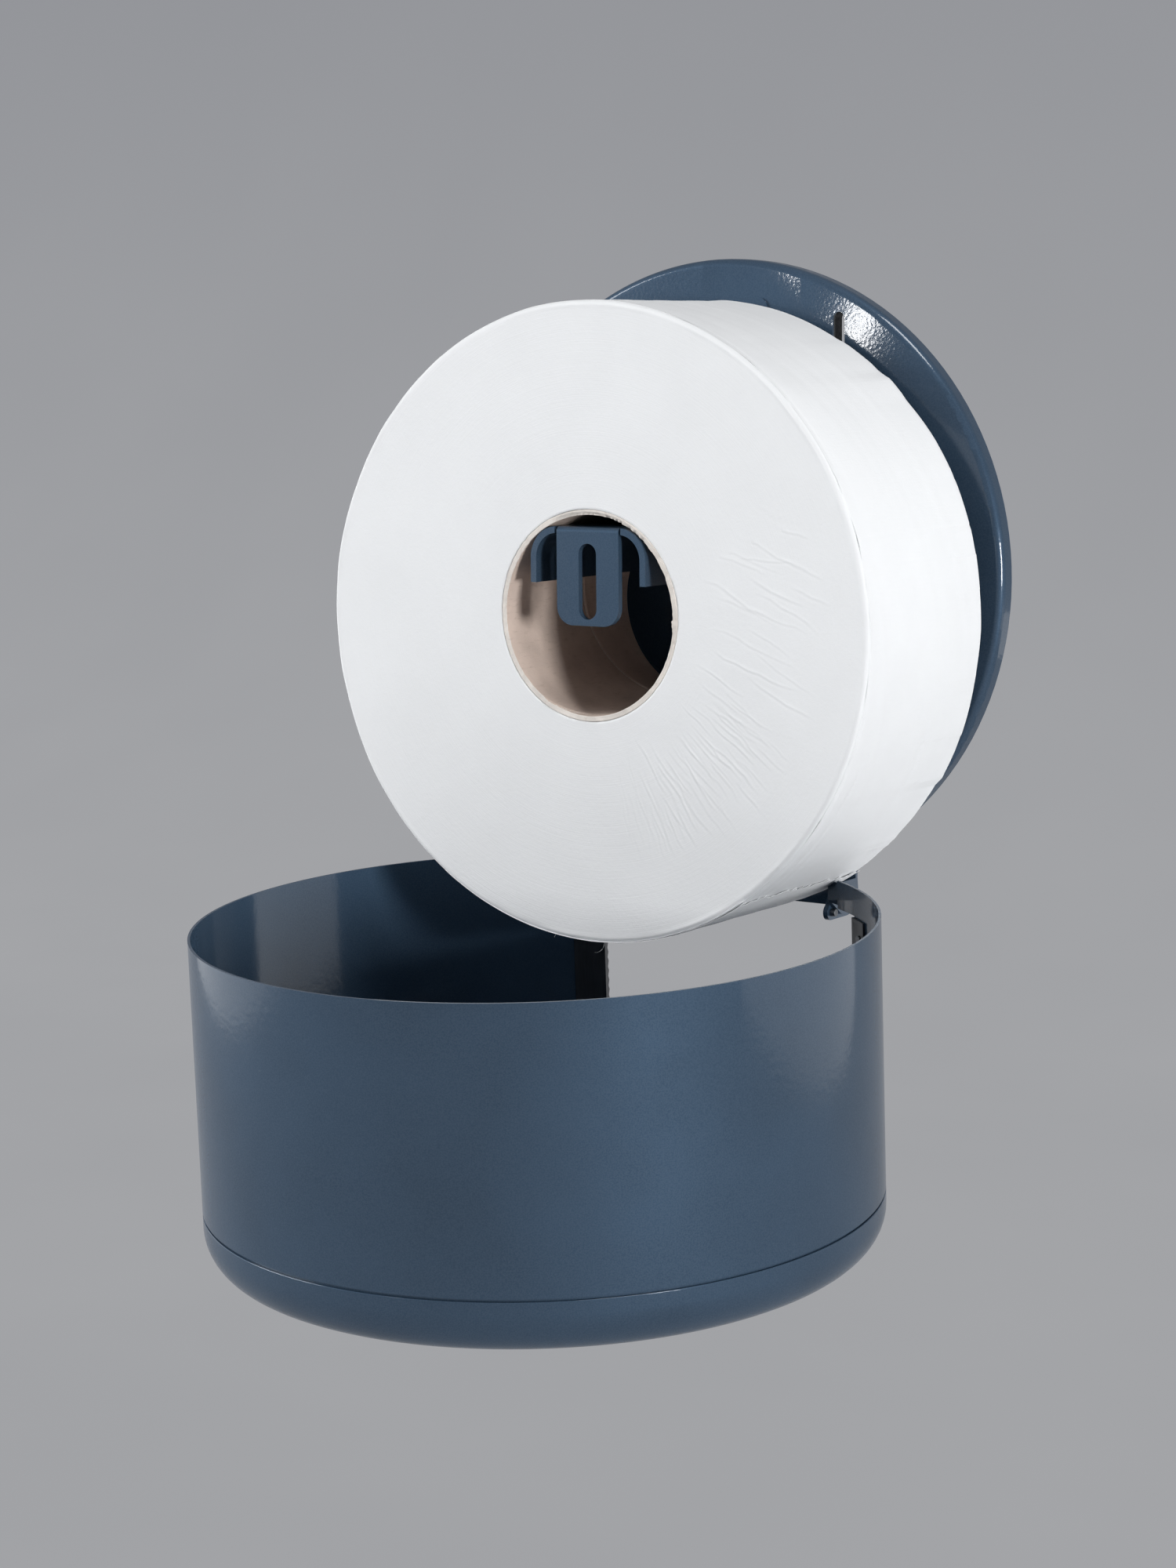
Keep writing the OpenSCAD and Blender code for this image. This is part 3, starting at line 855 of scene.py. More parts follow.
@dataclass
class DrumCover:
    """Drum wall, front cap, joint ring, ears and tear strips."""

    rim_edge: float = 0.35 * MM
    rim_angle: float = 50.0
    ear_edge: float = 0.3 * MM
    strip_edge: float = 0.12 * MM

    def dress(self, palette: Palette) -> list[bpy.types.Object]:
        """Finishes the nodes of the cover.

        Args:
            palette: the finishes.

        Returns:
            The dressed pieces.
        """
        drum = palette.finish(("cover_shell", "cover_cap"), Slot.COAT, self.rim_edge, 3, self.rim_angle)
        inner = palette.finish(("joint_ring", "cover_ear_left", "cover_ear_right"), Slot.COAT, self.ear_edge)
        strips = palette.finish(("tear_strip_left", "tear_strip_right"), Slot.STEEL, self.strip_edge)
        return drum + inner + strips + palette.finish(("tear_strip_rivets",), Slot.ZINC, self.strip_edge)


@dataclass
class CamLock:
    """Cam lock in the face of the drum."""

    edge: float = 0.2 * MM

    def dress(self, palette: Palette) -> list[bpy.types.Object]:
        """Finishes the nodes of the lock.

        Args:
            palette: the finishes.

        Returns:
            The dressed pieces.
        """
        shown = palette.finish(("lock_housing", "lock_plug"), Slot.LOCK, self.edge)
        hidden = ("lock_washer", "lock_nut", "lock_tongue", "lock_screw")
        return shown + palette.finish(hidden, Slot.ZINC, self.edge)


# ---------------------------------------------------------------- paper roll
@dataclass(frozen=True)
class Fan:
    """A fan of creases round the core: turns in degrees, distances from the axis in millimetres."""

    count: int
    first: float
    last: float
    near: float
    far: float


@dataclass(frozen=True)
class Fold:
    """A pressed fold that runs round the roll's side, from one angle to another.

    Its depth along Y, its drift over its length, how deep it sinks and how wide it is are in millimetres.
    """

    place: float
    first: float
    last: float
    drift: float
    deep: float
    wide: float

    def sunk(self, degrees: np.ndarray, y: float) -> np.ndarray:
        """How far the fold sinks.

        Args:
            degrees: angles round the roll, from 0 to 360.
            y: depth of the ring, in millimetres.

        Returns:
            Millimetres at each angle.
        """
        share = ramp(degrees, self.first, self.last - self.first)
        line = self.place + self.drift * share + 0.4 * np.sin(degrees * 0.21 + self.place)
        return self.deep * np.sin(share * math.pi) ** 0.7 * hump(y, line, self.wide)


@dataclass
class Crease:
    """One crease on the face of the roll, a short bent line with a raised and a sunk side.

    The margin is in millimetres, the reach and the crest's place in widths of the crease.
    """

    MARGIN = 4.0
    REACH = 4.0
    CREST = 0.6
    TROUGH = 0.85

    points: np.ndarray
    height: float
    width: float

    def around(self, at: np.ndarray) -> np.ndarray:
        """Which points lie near the crease.

        Args:
            at: points on the face, in millimetres from the axis.

        Returns:
            True for each point in the crease's box.
        """
        low, high = self.points.min(0) - self.MARGIN, self.points.max(0) + self.MARGIN
        return np.all((at > low) & (at < high), axis=1)

    def relief(self, at: np.ndarray) -> np.ndarray:
        """Height of the crease.

        Args:
            at: points on the face, in millimetres from the axis.

        Returns:
            Height in millimetres at each point.
        """
        lift = np.zeros(len(at))
        near = np.full(len(at), np.inf)
        total = len(self.points) - 1
        for k, (a, b) in enumerate(zip(self.points, self.points[1:])):
            d = b - a
            t = np.clip(((at - a) @ d) / float(np.hypot(*d)) ** 2, 0.0, 1.0)
            gap = at - (a + t[:, None] * d)
            dist = np.hypot(gap[:, 0], gap[:, 1])
            side = np.sign(gap[:, 0] * -d[1] + gap[:, 1] * d[0])
            fade = np.sin(np.clip((k + t) / total, 0.02, 0.98) * math.pi) ** 0.6
            s = dist * side / self.width
            shape = hump(s, self.CREST, 1.0) - self.TROUGH * hump(s, -self.CREST, 1.0)
            lift = np.where(dist < near, shape * fade * self.height, lift)
            near = np.minimum(near, dist)
        return np.where(near < self.width * self.REACH, lift, 0.0)


@dataclass(frozen=True)
class Fibre:
    """A loose fibre at the roll's lower front edge: its angle round the roll in degrees, the rest in mm."""

    angle: float
    length: float
    curl: float
    thick: float = 0.07
    steps: int = 14
    sides: int = 5

    def tube(self, reach: float, front: float, turn: float) -> np.ndarray:
        """Lays the fibre as a thinning tube.

        Args:
            reach: distance from the axis at which it starts.
            front: depth at which it starts.
            turn: turn of its first stretch from straight down, in radians.

        Returns:
            Points of the tube, a row for each step.
        """
        a, heading = math.radians(self.angle), turn - math.pi / 2
        p = np.array([reach * math.cos(a), front, reach * math.sin(a)])
        round_it = 2 * math.pi * np.arange(self.sides) / self.sides
        rows = []
        for k in range(self.steps):
            thin = self.thick * (1 - 0.6 * k / self.steps)
            across = np.array([-math.sin(heading), 0.0, math.cos(heading)])
            sides = np.outer(np.cos(round_it), across) + np.outer(np.sin(round_it), (0.0, 1.0, 0.0))
            rows.append(p + thin * sides)
            p = p + self.length / self.steps * np.array([math.cos(heading), -0.05, math.sin(heading)])
            heading += self.curl * 1.7 / self.steps
        return np.array(rows)


class Waves:
    """Random curves round the roll, from long waves to small nicks."""

    def __init__(self, rng: np.random.Generator) -> None:
        """Draws the curves.

        Args:
            rng: seeded generator.
        """
        self.low, self.mid, self.fine = (smooth_noise(rng, knots) for knots in (9, 26, 90))
        self.flats, self.nicks = (blunt_noise(rng, corners) for corners in (38, 120))
        self.bands = smooth_noise(rng, 14)


@dataclass
class PaperRoll:
    """Wound tissue roll with creased face, soft edges and a loose last turn, in millimetres and degrees.

    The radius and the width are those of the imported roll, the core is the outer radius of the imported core.
    The sag is what the outline grows all round, to the left and downwards. The bulge towards the wall has a
    height, a middle and a spread. Flats and nicks have a depth at the front and what the back adds to it. The
    leans pair a crease's turn round the roll with the heading it takes. Each crease fade is a distance from
    the axis where creases end and the stretch over which they grow to full height.
    """

    radius: float
    width: float
    core: float
    core_gap: float = 0.12
    edge: float = 2.0
    front_gap: float = 0.22
    sag: Triple = (3.0, 0.95, 3.35)
    bulge: Triple = (1.1, 28.0, 52.0)
    bulge_depth: float = 45.0
    back_out: float = 3.5
    back_from: float = 62.0
    back_over: float = 50.0
    shrink: float = 0.3
    waves: Span = (0.14, 0.1)
    flats: Span = (0.12, 0.55)
    nicks: Span = (0.05, 0.15)
    handled_depth: float = 38.0
    band: float = 0.1
    ring_radius: float = 104.0
    crease_pitch: float = 0.6
    crease_length: Span = (20.0, 46.0)
    crease_width: Span = (0.42, 0.62)
    crease_height: Span = (0.07, 0.16)
    crowded_height: Span = (0.05, 0.13)
    crease_fades: tuple[Span, ...] = ((43.0, 6.0), (119.0, -10.0))
    crowded_below: float = -22.0
    faint_below: float = -70.0
    faint: float = 0.45
    fine_span: Span = (265.0, 382.0)
    fine_step: float = 0.24
    coarse_step: float = 0.9
    loose_span: Span = (236.0, 303.0)
    loose_thick: float = 0.12
    pressed: float = 0.9475
    seed: int = 11
    fans: tuple[Fan, ...] = (
        Fan(7, 34.0, -20.0, 52.0, 70.0), Fan(8, 30.0, -18.0, 70.0, 70.0), Fan(4, 36.0, 4.0, 84.0, 64.0),
        Fan(24, -22.0, -80.0, 51.0, 66.0), Fan(26, -24.0, -78.0, 60.0, 62.0),
        Fan(16, -26.0, -74.0, 74.0, 62.0))
    leans: tuple[Span, ...] = ((-78.0, -78.0), (-67.0, -60.0), (-48.0, -46.0), (-30.0, -35.0), (-15.0, -29.0),
                               (-4.0, -23.0), (8.0, -19.0), (31.0, -16.0))
    folds: tuple[Fold, ...] = (
        Fold(-79.0, 284.0, 352.0, -1.5, 0.45, 0.9), Fold(-73.0, 288.0, 338.0, 2.5, 0.35, 1.1),
        Fold(-65.0, 290.0, 330.0, -3.0, 0.3, 1.3), Fold(-56.0, 286.0, 312.0, 2.0, 0.3, 1.4),
        Fold(-80.0, 24.0, 78.0, 1.0, 0.2, 0.9), Fold(-30.0, 300.0, 350.0, 3.0, 0.25, 1.6))
    fibres: tuple[Fibre, ...] = (
        Fibre(272.5, 9.0, -1.2), Fibre(262.0, 3.0, -0.6), Fibre(276.5, 4.2, -1.1), Fibre(256.0, 2.2, 0.8))

    @property
    def bore(self) -> float:
        """Radius of the hole, a hair outside the core."""
        return self.core + self.core_gap

    def angles(self) -> np.ndarray:
        """Angles round the roll, closer together where the face is creased.

        Returns:
            The angles in radians.
        """
        start, end = self.fine_span
        coarse = np.arange(end - 360.0, start, self.coarse_step)
        return np.radians(np.concatenate([coarse, np.arange(start, end, self.fine_step)]))

    def crease_lines(self, rng: np.random.Generator) -> list[Crease]:
        """Lays the creases of the lower right quarter.

        Args:
            rng: seeded generator.

        Returns:
            The creases, fanned out from the core and leaning downwards.
        """
        lines = []
        turns, leans = zip(*self.leans)
        for fan in self.fans:
            for k in range(fan.count):
                turn = fan.first + (fan.last - fan.first) * (k + rng.uniform(0.15, 0.85)) / fan.count
                crowded = turn < self.crowded_below
                start = rng.uniform(fan.near, fan.near + (16.0 if crowded else 7.0))
                length = min(rng.uniform(*self.crease_length), fan.far - start * 0.5)
                length *= 0.8 if crowded else 0.9
                heading = math.radians(float(np.interp(turn, turns, leans)) + rng.uniform(-4.0, 4.0))
                p = start * np.array([math.cos(math.radians(turn)), math.sin(math.radians(turn))])
                bend = rng.uniform(-0.03, 0.03)
                points = [p]
                steps = max(4, int(length / 5.0))
                for _ in range(steps):
                    heading += bend
                    way = heading + rng.uniform(-0.2, 0.2)
                    p = p + length / steps * np.array([math.cos(way), math.sin(way)])
                    points.append(p)
                height = rng.uniform(*(self.crowded_height if crowded else self.crease_height))
                height *= self.faint if turn < self.faint_below else 1.0
                lines.append(Crease(np.array(points), height, rng.uniform(*self.crease_width)))
        return lines

    def outline(self, theta: np.ndarray, y: float) -> np.ndarray:
        """Radius of the outermost turn, which sags and bulges towards the wall.

        Args:
            theta: angles round the roll, in radians.
            y: depth, 0 at the back and minus the width at the front, in millimetres.

        Returns:
            Radius in millimetres at each angle.
        """
        grow, side, fall = self.sag
        high, middle, spread = self.bulge
        near_wall = ramp(y, -self.bulge_depth, self.bulge_depth)
        bulge = high * hump(signed_degrees(theta), middle, spread) * near_wall
        return self.radius + grow - side * np.cos(theta) - fall * np.sin(theta) + bulge

    def skin(self, waves: Waves, theta: np.ndarray, y: float) -> np.ndarray:
        """Radius of the outer turn at one depth, with its waves, flats and folds.

        Args:
            waves: random curves round the roll.
            theta: angles round the roll, in radians.
            y: depth of the ring, in millimetres.

        Returns:
            Radius in millimetres at each angle.
        """
        back = ramp(y, -self.handled_depth, self.handled_depth) ** 1.5
        long_wave = self.waves[0] * waves.low(theta * 2.0 + y * 0.03)
        short_wave = self.waves[1] * waves.mid(theta + y * 0.05)
        flats = (self.flats[0] + self.flats[1] * back) * waves.flats(theta)
        nicks = (self.nicks[0] + self.nicks[1] * back) * waves.nicks(theta)
        sunk = sum(fold.sunk(np.degrees(theta) % 360.0, y) for fold in self.folds)
        return self.outline(theta, y) - self.shrink + long_wave + short_wave + flats + nicks - sunk

    def back_rows(self, waves: Waves, theta: np.ndarray) -> list[np.ndarray]:
        """Lays the bore and the back face, which bulges towards the wall, up to its rounded edge.

        Args:
            waves: random curves round the roll.
            theta: angles round the roll, in radians.

        Returns:
            The rings of points.
        """
        rows = [ring(theta, self.bore, y) for y in np.linspace(0.6 - self.width, -0.4, 6)]
        for r in np.linspace(self.bore + 3.0, self.radius - self.edge - 3.0, 14):
            out = self.back_out * smooth_step(ramp(r, self.back_from, self.back_over))
            rows.append(ring(theta, r, out - 0.15 - 0.12 * waves.mid(theta + r * 0.02)))
        for turn in np.radians(np.linspace(8.0, 82.0, 5)):
            r = self.skin(waves, theta, self.back_out) - self.edge * (1 - math.sin(turn))
            rows.append(ring(theta, r, self.back_out - 0.1 - self.edge * (1 - math.cos(turn))))
        return rows

    def side_rows(self, waves: Waves, theta: np.ndarray) -> list[np.ndarray]:
        """Lays the side and its rounded front edge.

        Args:
            waves: random curves round the roll.
            theta: angles round the roll, in radians.

        Returns:
            The rings of points.
        """
        rows = []
        plain = np.linspace(self.back_out - self.edge, -50.0, 34)
        folded = np.linspace(-50.7, self.edge - self.width, 46)
        for y in np.concatenate([plain, folded]):
            band = self.band * waves.bands(y / self.width * 5.0 + 0.35 * np.sin(theta * 2))
            rows.append(ring(theta, self.skin(waves, theta, y) + band, y))
        front = self.front_gap - self.width
        for a in np.linspace(84.0, 6.0, 7):
            inward, forward = 1 - math.sin(math.radians(a)), 1 - math.cos(math.radians(a))
            r = self.skin(waves, theta, front) - self.edge * inward + 0.08 * waves.fine(theta + a * 0.01)
            rows.append(ring(theta, r, front + self.edge * forward + 0.1 * waves.fine(theta + 2.0)))
        return rows

    def face_ring(self, waves: Waves, theta: np.ndarray, radius: Level, inward: float) -> np.ndarray:
        """Lays one ring of the front face, with its slow swell.

        Args:
            waves: random curves round the roll.
            theta: angles round the roll, in radians.
            radius: distance from the axis, one for all or one per angle.
            inward: how far inside the outermost circle it lies, in millimetres.

        Returns:
            The ring of points.
        """
        long_swell = 0.12 * waves.low(theta + 1.3 + inward * 0.008)
        short_swell = 0.05 * waves.mid(theta - 2.2 + inward * 0.02)
        return ring(theta, radius, self.front_gap - self.width + 0.05 - long_swell - short_swell)

    def face_rows(self, waves: Waves, theta: np.ndarray) -> list[np.ndarray]:
        """Lays the front face from the edge to the bore, without its creases.

        Args:
            waves: random curves round the roll.
            theta: angles round the roll, in radians.

        Returns:
            The rings of points.
        """
        rim = self.skin(waves, theta, self.front_gap - self.width) - self.edge - 0.4
        outer = self.ring_radius + np.outer(np.linspace(1.0, 0.0, 14)[:-1], rim - self.ring_radius)
        inner = [*np.arange(self.ring_radius, 47.0, -self.crease_pitch), *np.linspace(46.4, self.bore, 8)]
        rows = [self.face_ring(waves, theta, r, 0.0) for r in outer]
        return rows + [self.face_ring(waves, theta, r, self.ring_radius - r) for r in inner]

    def creased(self, face: np.ndarray, rng: np.random.Generator) -> np.ndarray:
        """Raises the creases on the front face, never past the solid's front.

        Args:
            face: rings of the face.
            rng: seeded generator.

        Returns:
            The rings with creases.
        """
        points = face.reshape(-1, 3).copy()
        flat = points[:, [0, 2]]
        lift = np.zeros(len(points))
        for crease in self.crease_lines(rng):
            near = crease.around(flat)
            lift[near] += crease.relief(flat[near])
        reach = np.hypot(flat[:, 0], flat[:, 1])
        for end, stretch in self.crease_fades:
            lift *= ramp(reach, end, stretch)
        points[:, 1] = np.maximum(points[:, 1] - lift, -self.width)
        return points.reshape(face.shape)

    def build(self, palette: Palette) -> list[bpy.types.Object]:
        """Builds the roll in place of its plain solid, with its loose turn and lint.

        Args:
            palette: the finishes.

        Returns:
            The pieces of paper.
        """
        rng = np.random.default_rng(self.seed)
        theta, waves = self.angles(), Waves(rng)
        wound = self.back_rows(waves, theta) + self.side_rows(waves, theta)
        points = np.array([*wound, *self.creased(np.array(self.face_rows(waves, theta)), rng)])
        paper, axis = [palette.by_slot[Slot.PAPER]], back_middle(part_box("paper_roll"))
        roll = piece_from("tissue_roll", points * MM, ring_faces(len(points), len(theta), True), paper, axis)
        settle(roll, Body.ROLL)
        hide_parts("paper_roll")
        pieces = [roll, self.last_turn(paper, axis, rng), self.lint(paper, axis, rng)]
        for soft in pieces:
            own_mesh(soft)
        return pieces

    def last_turn(self, paper: list[bpy.types.Material], axis: Triple,
                  rng: np.random.Generator) -> bpy.types.Object:
        """Builds the loose last turn under the roll, with a ragged end.

        Args:
            paper: the tissue's material.
            axis: middle of the roll's back face.
            rng: seeded generator.

        Returns:
            The sheet.
        """
        theta = np.radians(np.linspace(*self.loose_span, 220))
        tear, ripple = smooth_noise(rng, 60), smooth_noise(rng, 20)
        loose = (theta - theta[0]) / (theta[-1] - theta[0])
        outside, inside = [], []
        for y in np.linspace(0.6 - self.back_out, self.width - 0.5, 74):
            v = y / self.width
            fold = loose * (0.14 * ripple(theta * 3 + v * 2.0) + 0.1 * np.sin(v * 21.0))
            r = self.outline(theta, -y) - 0.75 + loose**1.6 + fold
            end = 1.0 + 0.014 * float(tear(v * 6.0)) + 0.008 * float(tear(v * 23.0))
            around = theta[0] + (theta - theta[0]) * end
            depth = 0.15 * ripple(theta * 5) - y
            outside.append(ring(around, r, depth))
            inside.append(ring(around, r - self.loose_thick, depth))
        points = np.array([outside, inside])
        rows, columns = points.shape[1:3]
        count = rows * columns
        index = np.arange(count).reshape(rows, columns)
        border = np.concatenate([index[0], index[1:, -1], index[-1, -2::-1], index[-2:0:-1, 0]])
        after = np.roll(border, -1)
        skirt = np.stack([after, border, border + count, after + count], -1)
        sheet = ring_faces(rows, columns, False, False)
        faces = np.concatenate([sheet, sheet[:, ::-1] + count, skirt])
        return settle(piece_from("tissue_last_turn", points * MM, faces, paper, axis), Body.ROLL)

    def lint(self, paper: list[bpy.types.Material], axis: Triple,
             rng: np.random.Generator) -> bpy.types.Object:
        """Adds a few loose fibres on the lower front edge.

        Args:
            paper: the tissue's material.
            axis: middle of the roll's back face.
            rng: seeded generator.

        Returns:
            The fibres.
        """
        tubes: list[np.ndarray] = []
        faces: list[np.ndarray] = []
        for fibre in self.fibres:
            reach = float(self.outline(np.radians(fibre.angle), -self.width)) - 1.5
            faces.append(ring_faces(fibre.steps, fibre.sides, False) + sum(len(tube) for tube in tubes))
            tubes.append(fibre.tube(reach, 1.6 - self.width, rng.uniform(-0.3, 0.3)).reshape(-1, 3))
        lint = piece_from("tissue_lint", np.concatenate(tubes) * MM, np.concatenate(faces), paper, axis)
        return settle(lint, Body.ROLL)


# ---------------------------------------------------------------- card core
class TornRim:
    """How the front rim of the core is torn back, frayed and folded over, at each angle.

    Angles are in degrees and depths in millimetres: the missing and the frayed stretch have a middle and the
    angles to each side over which they fade out, a flap has a middle, a spread and a share of the full size.
    """

    MISSING = (78.0, 34.0)
    MISSING_DEPTH = 1.9
    FRAYED = (12.0, 87.5, 70.0)
    FLAPS = ((-3.0, 7.0, 1.0), (41.0, 4.0, 0.7))

    def __init__(self, theta: np.ndarray, rng: np.random.Generator) -> None:
        """Draws the rim.

        Args:
            theta: angles round the core, in radians.
            rng: seeded generator.
        """
        degrees = signed_degrees(theta)
        ragged, coarse = smooth_noise(rng, 130), smooth_noise(rng, 24)
        middle, half = self.MISSING
        missing = ramp(np.abs(degrees - middle), half, -half) ** 0.5
        self.wander = coarse
        self.outer = 0.35 + 0.22 * ragged(theta) + 0.25 * coarse(theta)
        self.inner = self.outer + self.MISSING_DEPTH * missing * (0.75 + 0.35 * ragged(theta * 2.0))
        middle, reach, fade = self.FRAYED
        self.frayed = ramp(np.abs(degrees - middle), reach, -fade)
        self.fray = self.frayed * (0.35 * ragged(theta * 3.0) + 0.25 * coarse(theta * 5.0))
        self.flap = sum(share * hump(degrees, middle, spread) for middle, spread, share in self.FLAPS)


@dataclass
class CardCore:
    """Spiral-wound card core with a torn front rim, in millimetres and degrees.

    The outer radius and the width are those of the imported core. The lead is the spiral's rise in one turn.
    """

    outer: float
    width: float
    wall: float = 2.0
    lead: float = 64.0
    seam_angle: float = -154.0
    seam_depth: float = 26.0
    seam_height: float = 0.34
    seam_spread: float = 0.5
    seam_pale: float = 0.3
    step_depth: float = 0.16
    step_fade: float = 5.0
    columns: int = 540
    bore_rings: int = 240
    seed: int = 5

    @property
    def inner(self) -> float:
        """Radius of the bore."""
        return self.outer - self.wall

    def bore_ring(self, theta: np.ndarray, rim: TornRim, share: float) -> tuple[np.ndarray, np.ndarray]:
        """Lays one ring of the bore, with the raised seam of the spiral.

        Args:
            theta: angles round the core, in radians.
            rim: the torn rim.
            share: place between the back, 0, and the torn rim, 1.

        Returns:
            The ring of points, and where on it the seam is pale.
        """
        y = -0.2 - share * (self.width - 0.2 - rim.inner)
        turn = (y + self.seam_depth) / self.lead - (signed_degrees(theta) - self.seam_angle) / 360.0
        off = (turn + 0.5) % 1.0 - 0.5
        gap = np.abs(off) * self.lead * 0.9
        step = self.step_depth * (off > 0) * np.exp(-gap / self.step_fade)
        seam = self.seam_height * hump(gap, 0.0, self.seam_spread) - step
        radius = self.inner + seam + 0.05 * rim.wander(theta + y * 0.05)
        return ring(theta, radius, y), gap < self.seam_pale

    def rim_rings(self, theta: np.ndarray, rim: TornRim) -> list[np.ndarray]:
        """Lays the torn rim, from the bore to the outside.

        Args:
            theta: angles round the core, in radians.
            rim: the torn rim.

        Returns:
            The rings of points.
        """
        spread = self.inner + 0.5 * rim.frayed + rim.fray
        steps = (
            (spread + 0.18 - 0.9 * rim.flap, rim.inner - 0.1 - 0.1 * rim.flap),
            (spread + 0.75 - 0.7 * rim.flap, rim.inner - 0.02),
            (self.inner + 0.95 + 0.35 * rim.frayed + 0.5 * rim.fray - 0.5 * rim.flap, rim.outer * 0.9),
            (self.inner + 1.55 + 0.15 * rim.frayed, rim.outer * 0.6),
            (self.outer - 0.2, rim.outer * 0.55),
            (self.outer, rim.outer * 0.6 + 0.25),
        )
        return [ring(theta, radius, back - self.width) for radius, back in steps]

    def build(self, palette: Palette) -> list[bpy.types.Object]:
        """Builds the core in place of its plain solid.

        Args:
            palette: the finishes.

        Returns:
            The core.
        """
        theta = np.linspace(0, 2 * math.pi, self.columns, endpoint=False)
        rim = TornRim(theta, np.random.default_rng(self.seed))
        bore, seams = zip(*(self.bore_ring(theta, rim, s) for s in np.linspace(0.0, 1.0, self.bore_rings)))
        torn = self.rim_rings(theta, rim)
        outside = [ring(theta, self.outer, y) for y in np.linspace(4.0 - self.width, -0.6, 8)]
        back = [ring(theta, self.outer - 0.3, -0.1), ring(theta, self.inner + 0.3, -0.1)]
        points = np.array([*bore, *torn, *outside, *back])
        pale = np.zeros(points.shape[:2], bool)
        pale[:len(bore)] = seams
        pale[len(bore) - 1:len(bore) + len(torn)] = True
        faces = ring_faces(len(points), self.columns, True)[:, ::-1]
        board = [palette.by_slot[Slot.CARD], palette.card_edge]
        core = piece_from("card_core", points * MM, faces, board, back_middle(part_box("roll_core")))
        core.data.polygons.foreach_set("material_index", pale.reshape(-1).astype(int).tolist())
        settle(core, Body.ROLL)
        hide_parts("roll_core")
        return [core]


# ---------------------------------------------------------------- studio
@dataclass(frozen=True)
class Lamp:
    """A rectangular soft lamp aimed at the object; azimuth 0 is straight in front and 90 to the right."""

    name: str
    azimuth: float
    elevation: float
    distance: float
    width: float
    height: float
    power: float
    spread: float = 180.0
    aim: Triple = (0.0, -0.09, -0.05)

    def build(self) -> None:
        """Makes the lamp."""
        a, e = math.radians(self.azimuth), math.radians(self.elevation)
        way = Vector((math.sin(a) * math.cos(e), -math.cos(a) * math.cos(e), math.sin(e)))
        data = bpy.data.lights.new(self.name, "AREA")
        data.shape = "RECTANGLE"
        data.size, data.size_y = self.width, self.height
        data.energy = self.power
        data.spread = math.radians(self.spread)
        lamp = bpy.data.objects.new(self.name, data)
        lamp.location = Vector(self.aim) + way * self.distance
        lamp.rotation_euler = way.to_track_quat("Z", "Y").to_euler()
        bpy.context.scene.collection.objects.link(lamp)


def seen(tree: bpy.types.NodeTree) -> Socket:
    """Makes the test for what the eye sees, straight, mirrored or through glass.

    Args:
        tree: node tree of a backdrop material or the world.

    Returns:
        A socket that is 1 for those rays and 0 for the rest.
    """
    path = tree.nodes.new("ShaderNodeLightPath")
    socket = path.outputs["Is Camera Ray"]
    for name in ("Is Glossy Ray", "Is Transmission Ray"):
        either = tree.nodes.new("ShaderNodeMath")
        either.operation = "MAXIMUM"
        tree.links.new(socket, either.inputs[0])
        tree.links.new(path.outputs[name], either.inputs[1])
        socket = either.outputs["Value"]
    return socket


@dataclass(frozen=True)
class SweepPaper:
    """Pale paper of the sweep, which is seen in the tones of the backdrop whatever light falls on it."""

    dark: Colour = (0.74, 0.745, 0.76)
    light: Colour = (0.77, 0.775, 0.785)
    mottling: float = 0.12
    tooth: float = 0.05 * MM
    tooth_per_metre: float = 900.0

    def material(self, floor_z: float, fade: float, floor_shown: Colour,
                 backdrop: Colour) -> bpy.types.Material:
        """Builds the paper.

        Args:
            floor_z: height of the floor.
            fade: height over which the floor's tone turns into the backdrop's.
            floor_shown: tone seen at the floor.
            backdrop: tone seen above.

        Returns:
            The material.
        """
        g = Graph("sweep_paper")
        grain = g.vary(g.noise(3.0, 3.0))
        rough = g.vary(g.noise(40.0), 0.88, 0.98)
        tooth = g.bump(g.noise(self.tooth_per_metre), self.tooth)
        g.constant(Specular_IOR_Level=0.1)
        g.surface(g.tint(grain, self.dark, self.light), rough, tooth)
        _, _, up = g.parts(g.place)
        shown = g.tint(g.remap(up, (floor_z, floor_z + fade)), floor_shown, backdrop)
        glow = g.add("ShaderNodeEmission")
        g.join(g.tint(g.times(grain, self.mottling), shown, shade(backdrop, 0.97)), glow.inputs["Color"])
        mix = g.add("ShaderNodeMixShader")
        g.join(seen(g.tree), mix.inputs["Fac"])
        g.join(g.shader.outputs["BSDF"], mix.inputs[1])
        g.join(glow.outputs["Emission"], mix.inputs[2])
        g.join(mix.outputs["Shader"], g.out.inputs["Surface"])
        return g.material


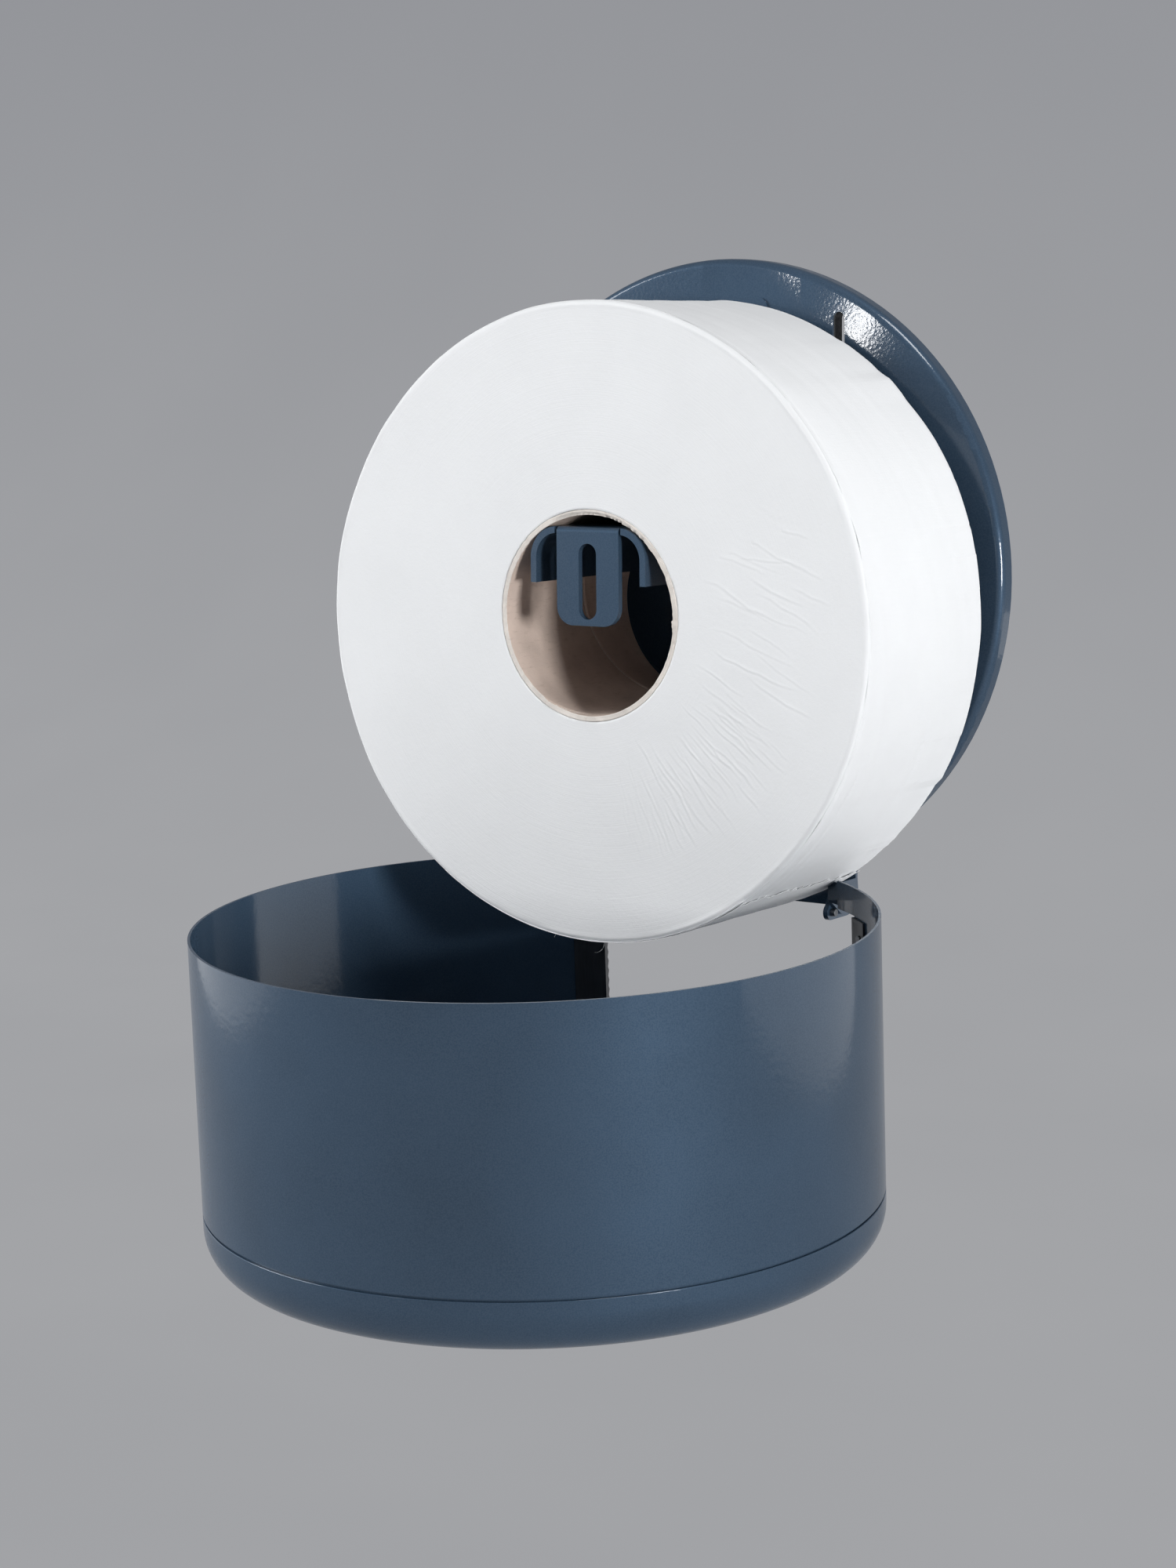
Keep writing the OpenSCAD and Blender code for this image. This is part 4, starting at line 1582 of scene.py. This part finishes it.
@dataclass
class Studio:
    """Pale sweep, soft lamps, low ambient light and plain colour management."""

    floor_z: float = -0.55
    wall_y: float = 2.4
    near_y: float = -2.0
    bend: float = 1.0
    half: float = 4.2
    top: float = 3.2
    fade: float = 1.6
    ambient: Colour = (0.04, 0.043, 0.048)
    backdrop: Colour = (0.27, 0.277, 0.3)
    floor_shown: Colour = (0.37, 0.375, 0.39)
    lamps: tuple[Lamp, ...] = (
        Lamp("key_right", 70.5, 2.0, 2.5, 0.45, 0.45, 14.8, 110.0),
        Lamp("key_high", 74.0, 68.0, 2.0, 0.6, 0.6, 5.5, 110.0),
        Lamp("soft_front", -60.0, 16.0, 3.4, 1.8, 1.4, 34.0, 110.0),
        Lamp("board_left", -71.0, -8.0, 1.7, 2.4, 1.2, 8.5),
        Lamp("board_right", 131.0, -20.0, 1.7, 1.85, 0.7, 3.2),
        Lamp("sparkle", -17.8, 19.5, 1.8, 0.11, 0.11, 1.7, aim=(0.062, -0.0077, 0.098)),
    )

    def sweep(self) -> None:
        """Builds the floor that curves up behind the object."""
        bend_y = self.wall_y - self.bend
        profile = [(-self.half, self.floor_z)]
        profile += [(y, self.floor_z) for y in np.linspace(self.near_y, bend_y, 6)]
        for a in np.radians(np.linspace(8.0, 90.0, 14)):
            profile.append((bend_y + self.bend * math.sin(a), self.floor_z + self.bend * (1 - math.cos(a))))
        profile.append((self.wall_y, self.top))
        xs = np.linspace(-self.half * 1.3, self.half * 1.3, 9)
        points = np.array([[x, y, z] for y, z in profile for x in xs])
        quads = ring_faces(len(profile), len(xs), False, False)
        material = SweepPaper().material(self.floor_z, self.fade, self.floor_shown, self.backdrop)
        piece_from("floor_sweep", points, quads, [material])

    def build(self) -> None:
        """Builds the whole studio."""
        scene = bpy.context.scene
        scene.view_settings.view_transform = "Standard"
        world = bpy.data.worlds.new("studio_world")
        scene.world = world
        world.use_nodes = True
        tree = world.node_tree
        mix = tree.nodes.new("ShaderNodeMix")
        mix.data_type = "RGBA"
        tree.links.new(seen(tree), mix.inputs["Factor"])
        mix.inputs[6].default_value = (*self.ambient, 1.0)
        mix.inputs[7].default_value = (*self.backdrop, 1.0)
        tree.links.new(mix.outputs[2], tree.nodes["Background"].inputs["Color"])
        self.sweep()
        for lamp in self.lamps:
            lamp.build()


@dataclass(frozen=True)
class Viewpoint:
    """The camera: lens and sensor in millimetres, angles in degrees."""

    place: Triple = (0.68067, -1.09953, 0.09264)
    lens: float = 73.655
    sensor: float = 36.0
    yaw: float = 34.417
    pitch: float = -7.885
    roll: float = -0.452637

    def build(self) -> None:
        """Makes the camera the scene's own."""
        yaw, pitch, roll = (math.radians(a) for a in (self.yaw, self.pitch, self.roll))
        ahead = Vector((-math.sin(yaw) * math.cos(pitch), math.cos(yaw) * math.cos(pitch), math.sin(pitch)))
        right = Vector((math.cos(yaw), math.sin(yaw), 0.0))
        side = right * math.cos(roll) + right.cross(ahead) * math.sin(roll)
        data = bpy.data.cameras.new("camera")
        data.lens = self.lens
        data.sensor_width = self.sensor
        data.clip_start, data.clip_end = 0.01, 50.0
        camera = bpy.data.objects.new("camera", data)
        turn = Matrix((side, side.cross(ahead), -ahead)).transposed().to_4x4()
        camera.matrix_world = Matrix.Translation(Vector(self.place)) @ turn
        bpy.context.scene.collection.objects.link(camera)
        bpy.context.scene.camera = camera


def main() -> None:
    """Builds the camera, the studio and every sub-assembly, and reports each piece."""
    logging.basicConfig(level=logging.INFO, format="%(name)s: %(message)s")
    Viewpoint().build()
    Studio().build()
    palette = Palette()
    pieces = WallUnit().dress(palette) + DrumCover().dress(palette) + CamLock().dress(palette)
    roll_size, core_size = round_size(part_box("paper_roll")), round_size(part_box("roll_core"))
    pieces += PaperRoll(*roll_size, core=core_size[0]).build(palette)
    pieces += CardCore(*core_size).build(palette)
    for piece in pieces:
        LOG.info("%s: %d faces, %s", piece.name, len(piece.data.polygons), piece.data.materials[0].name)


if __name__ == "__main__":
    main()
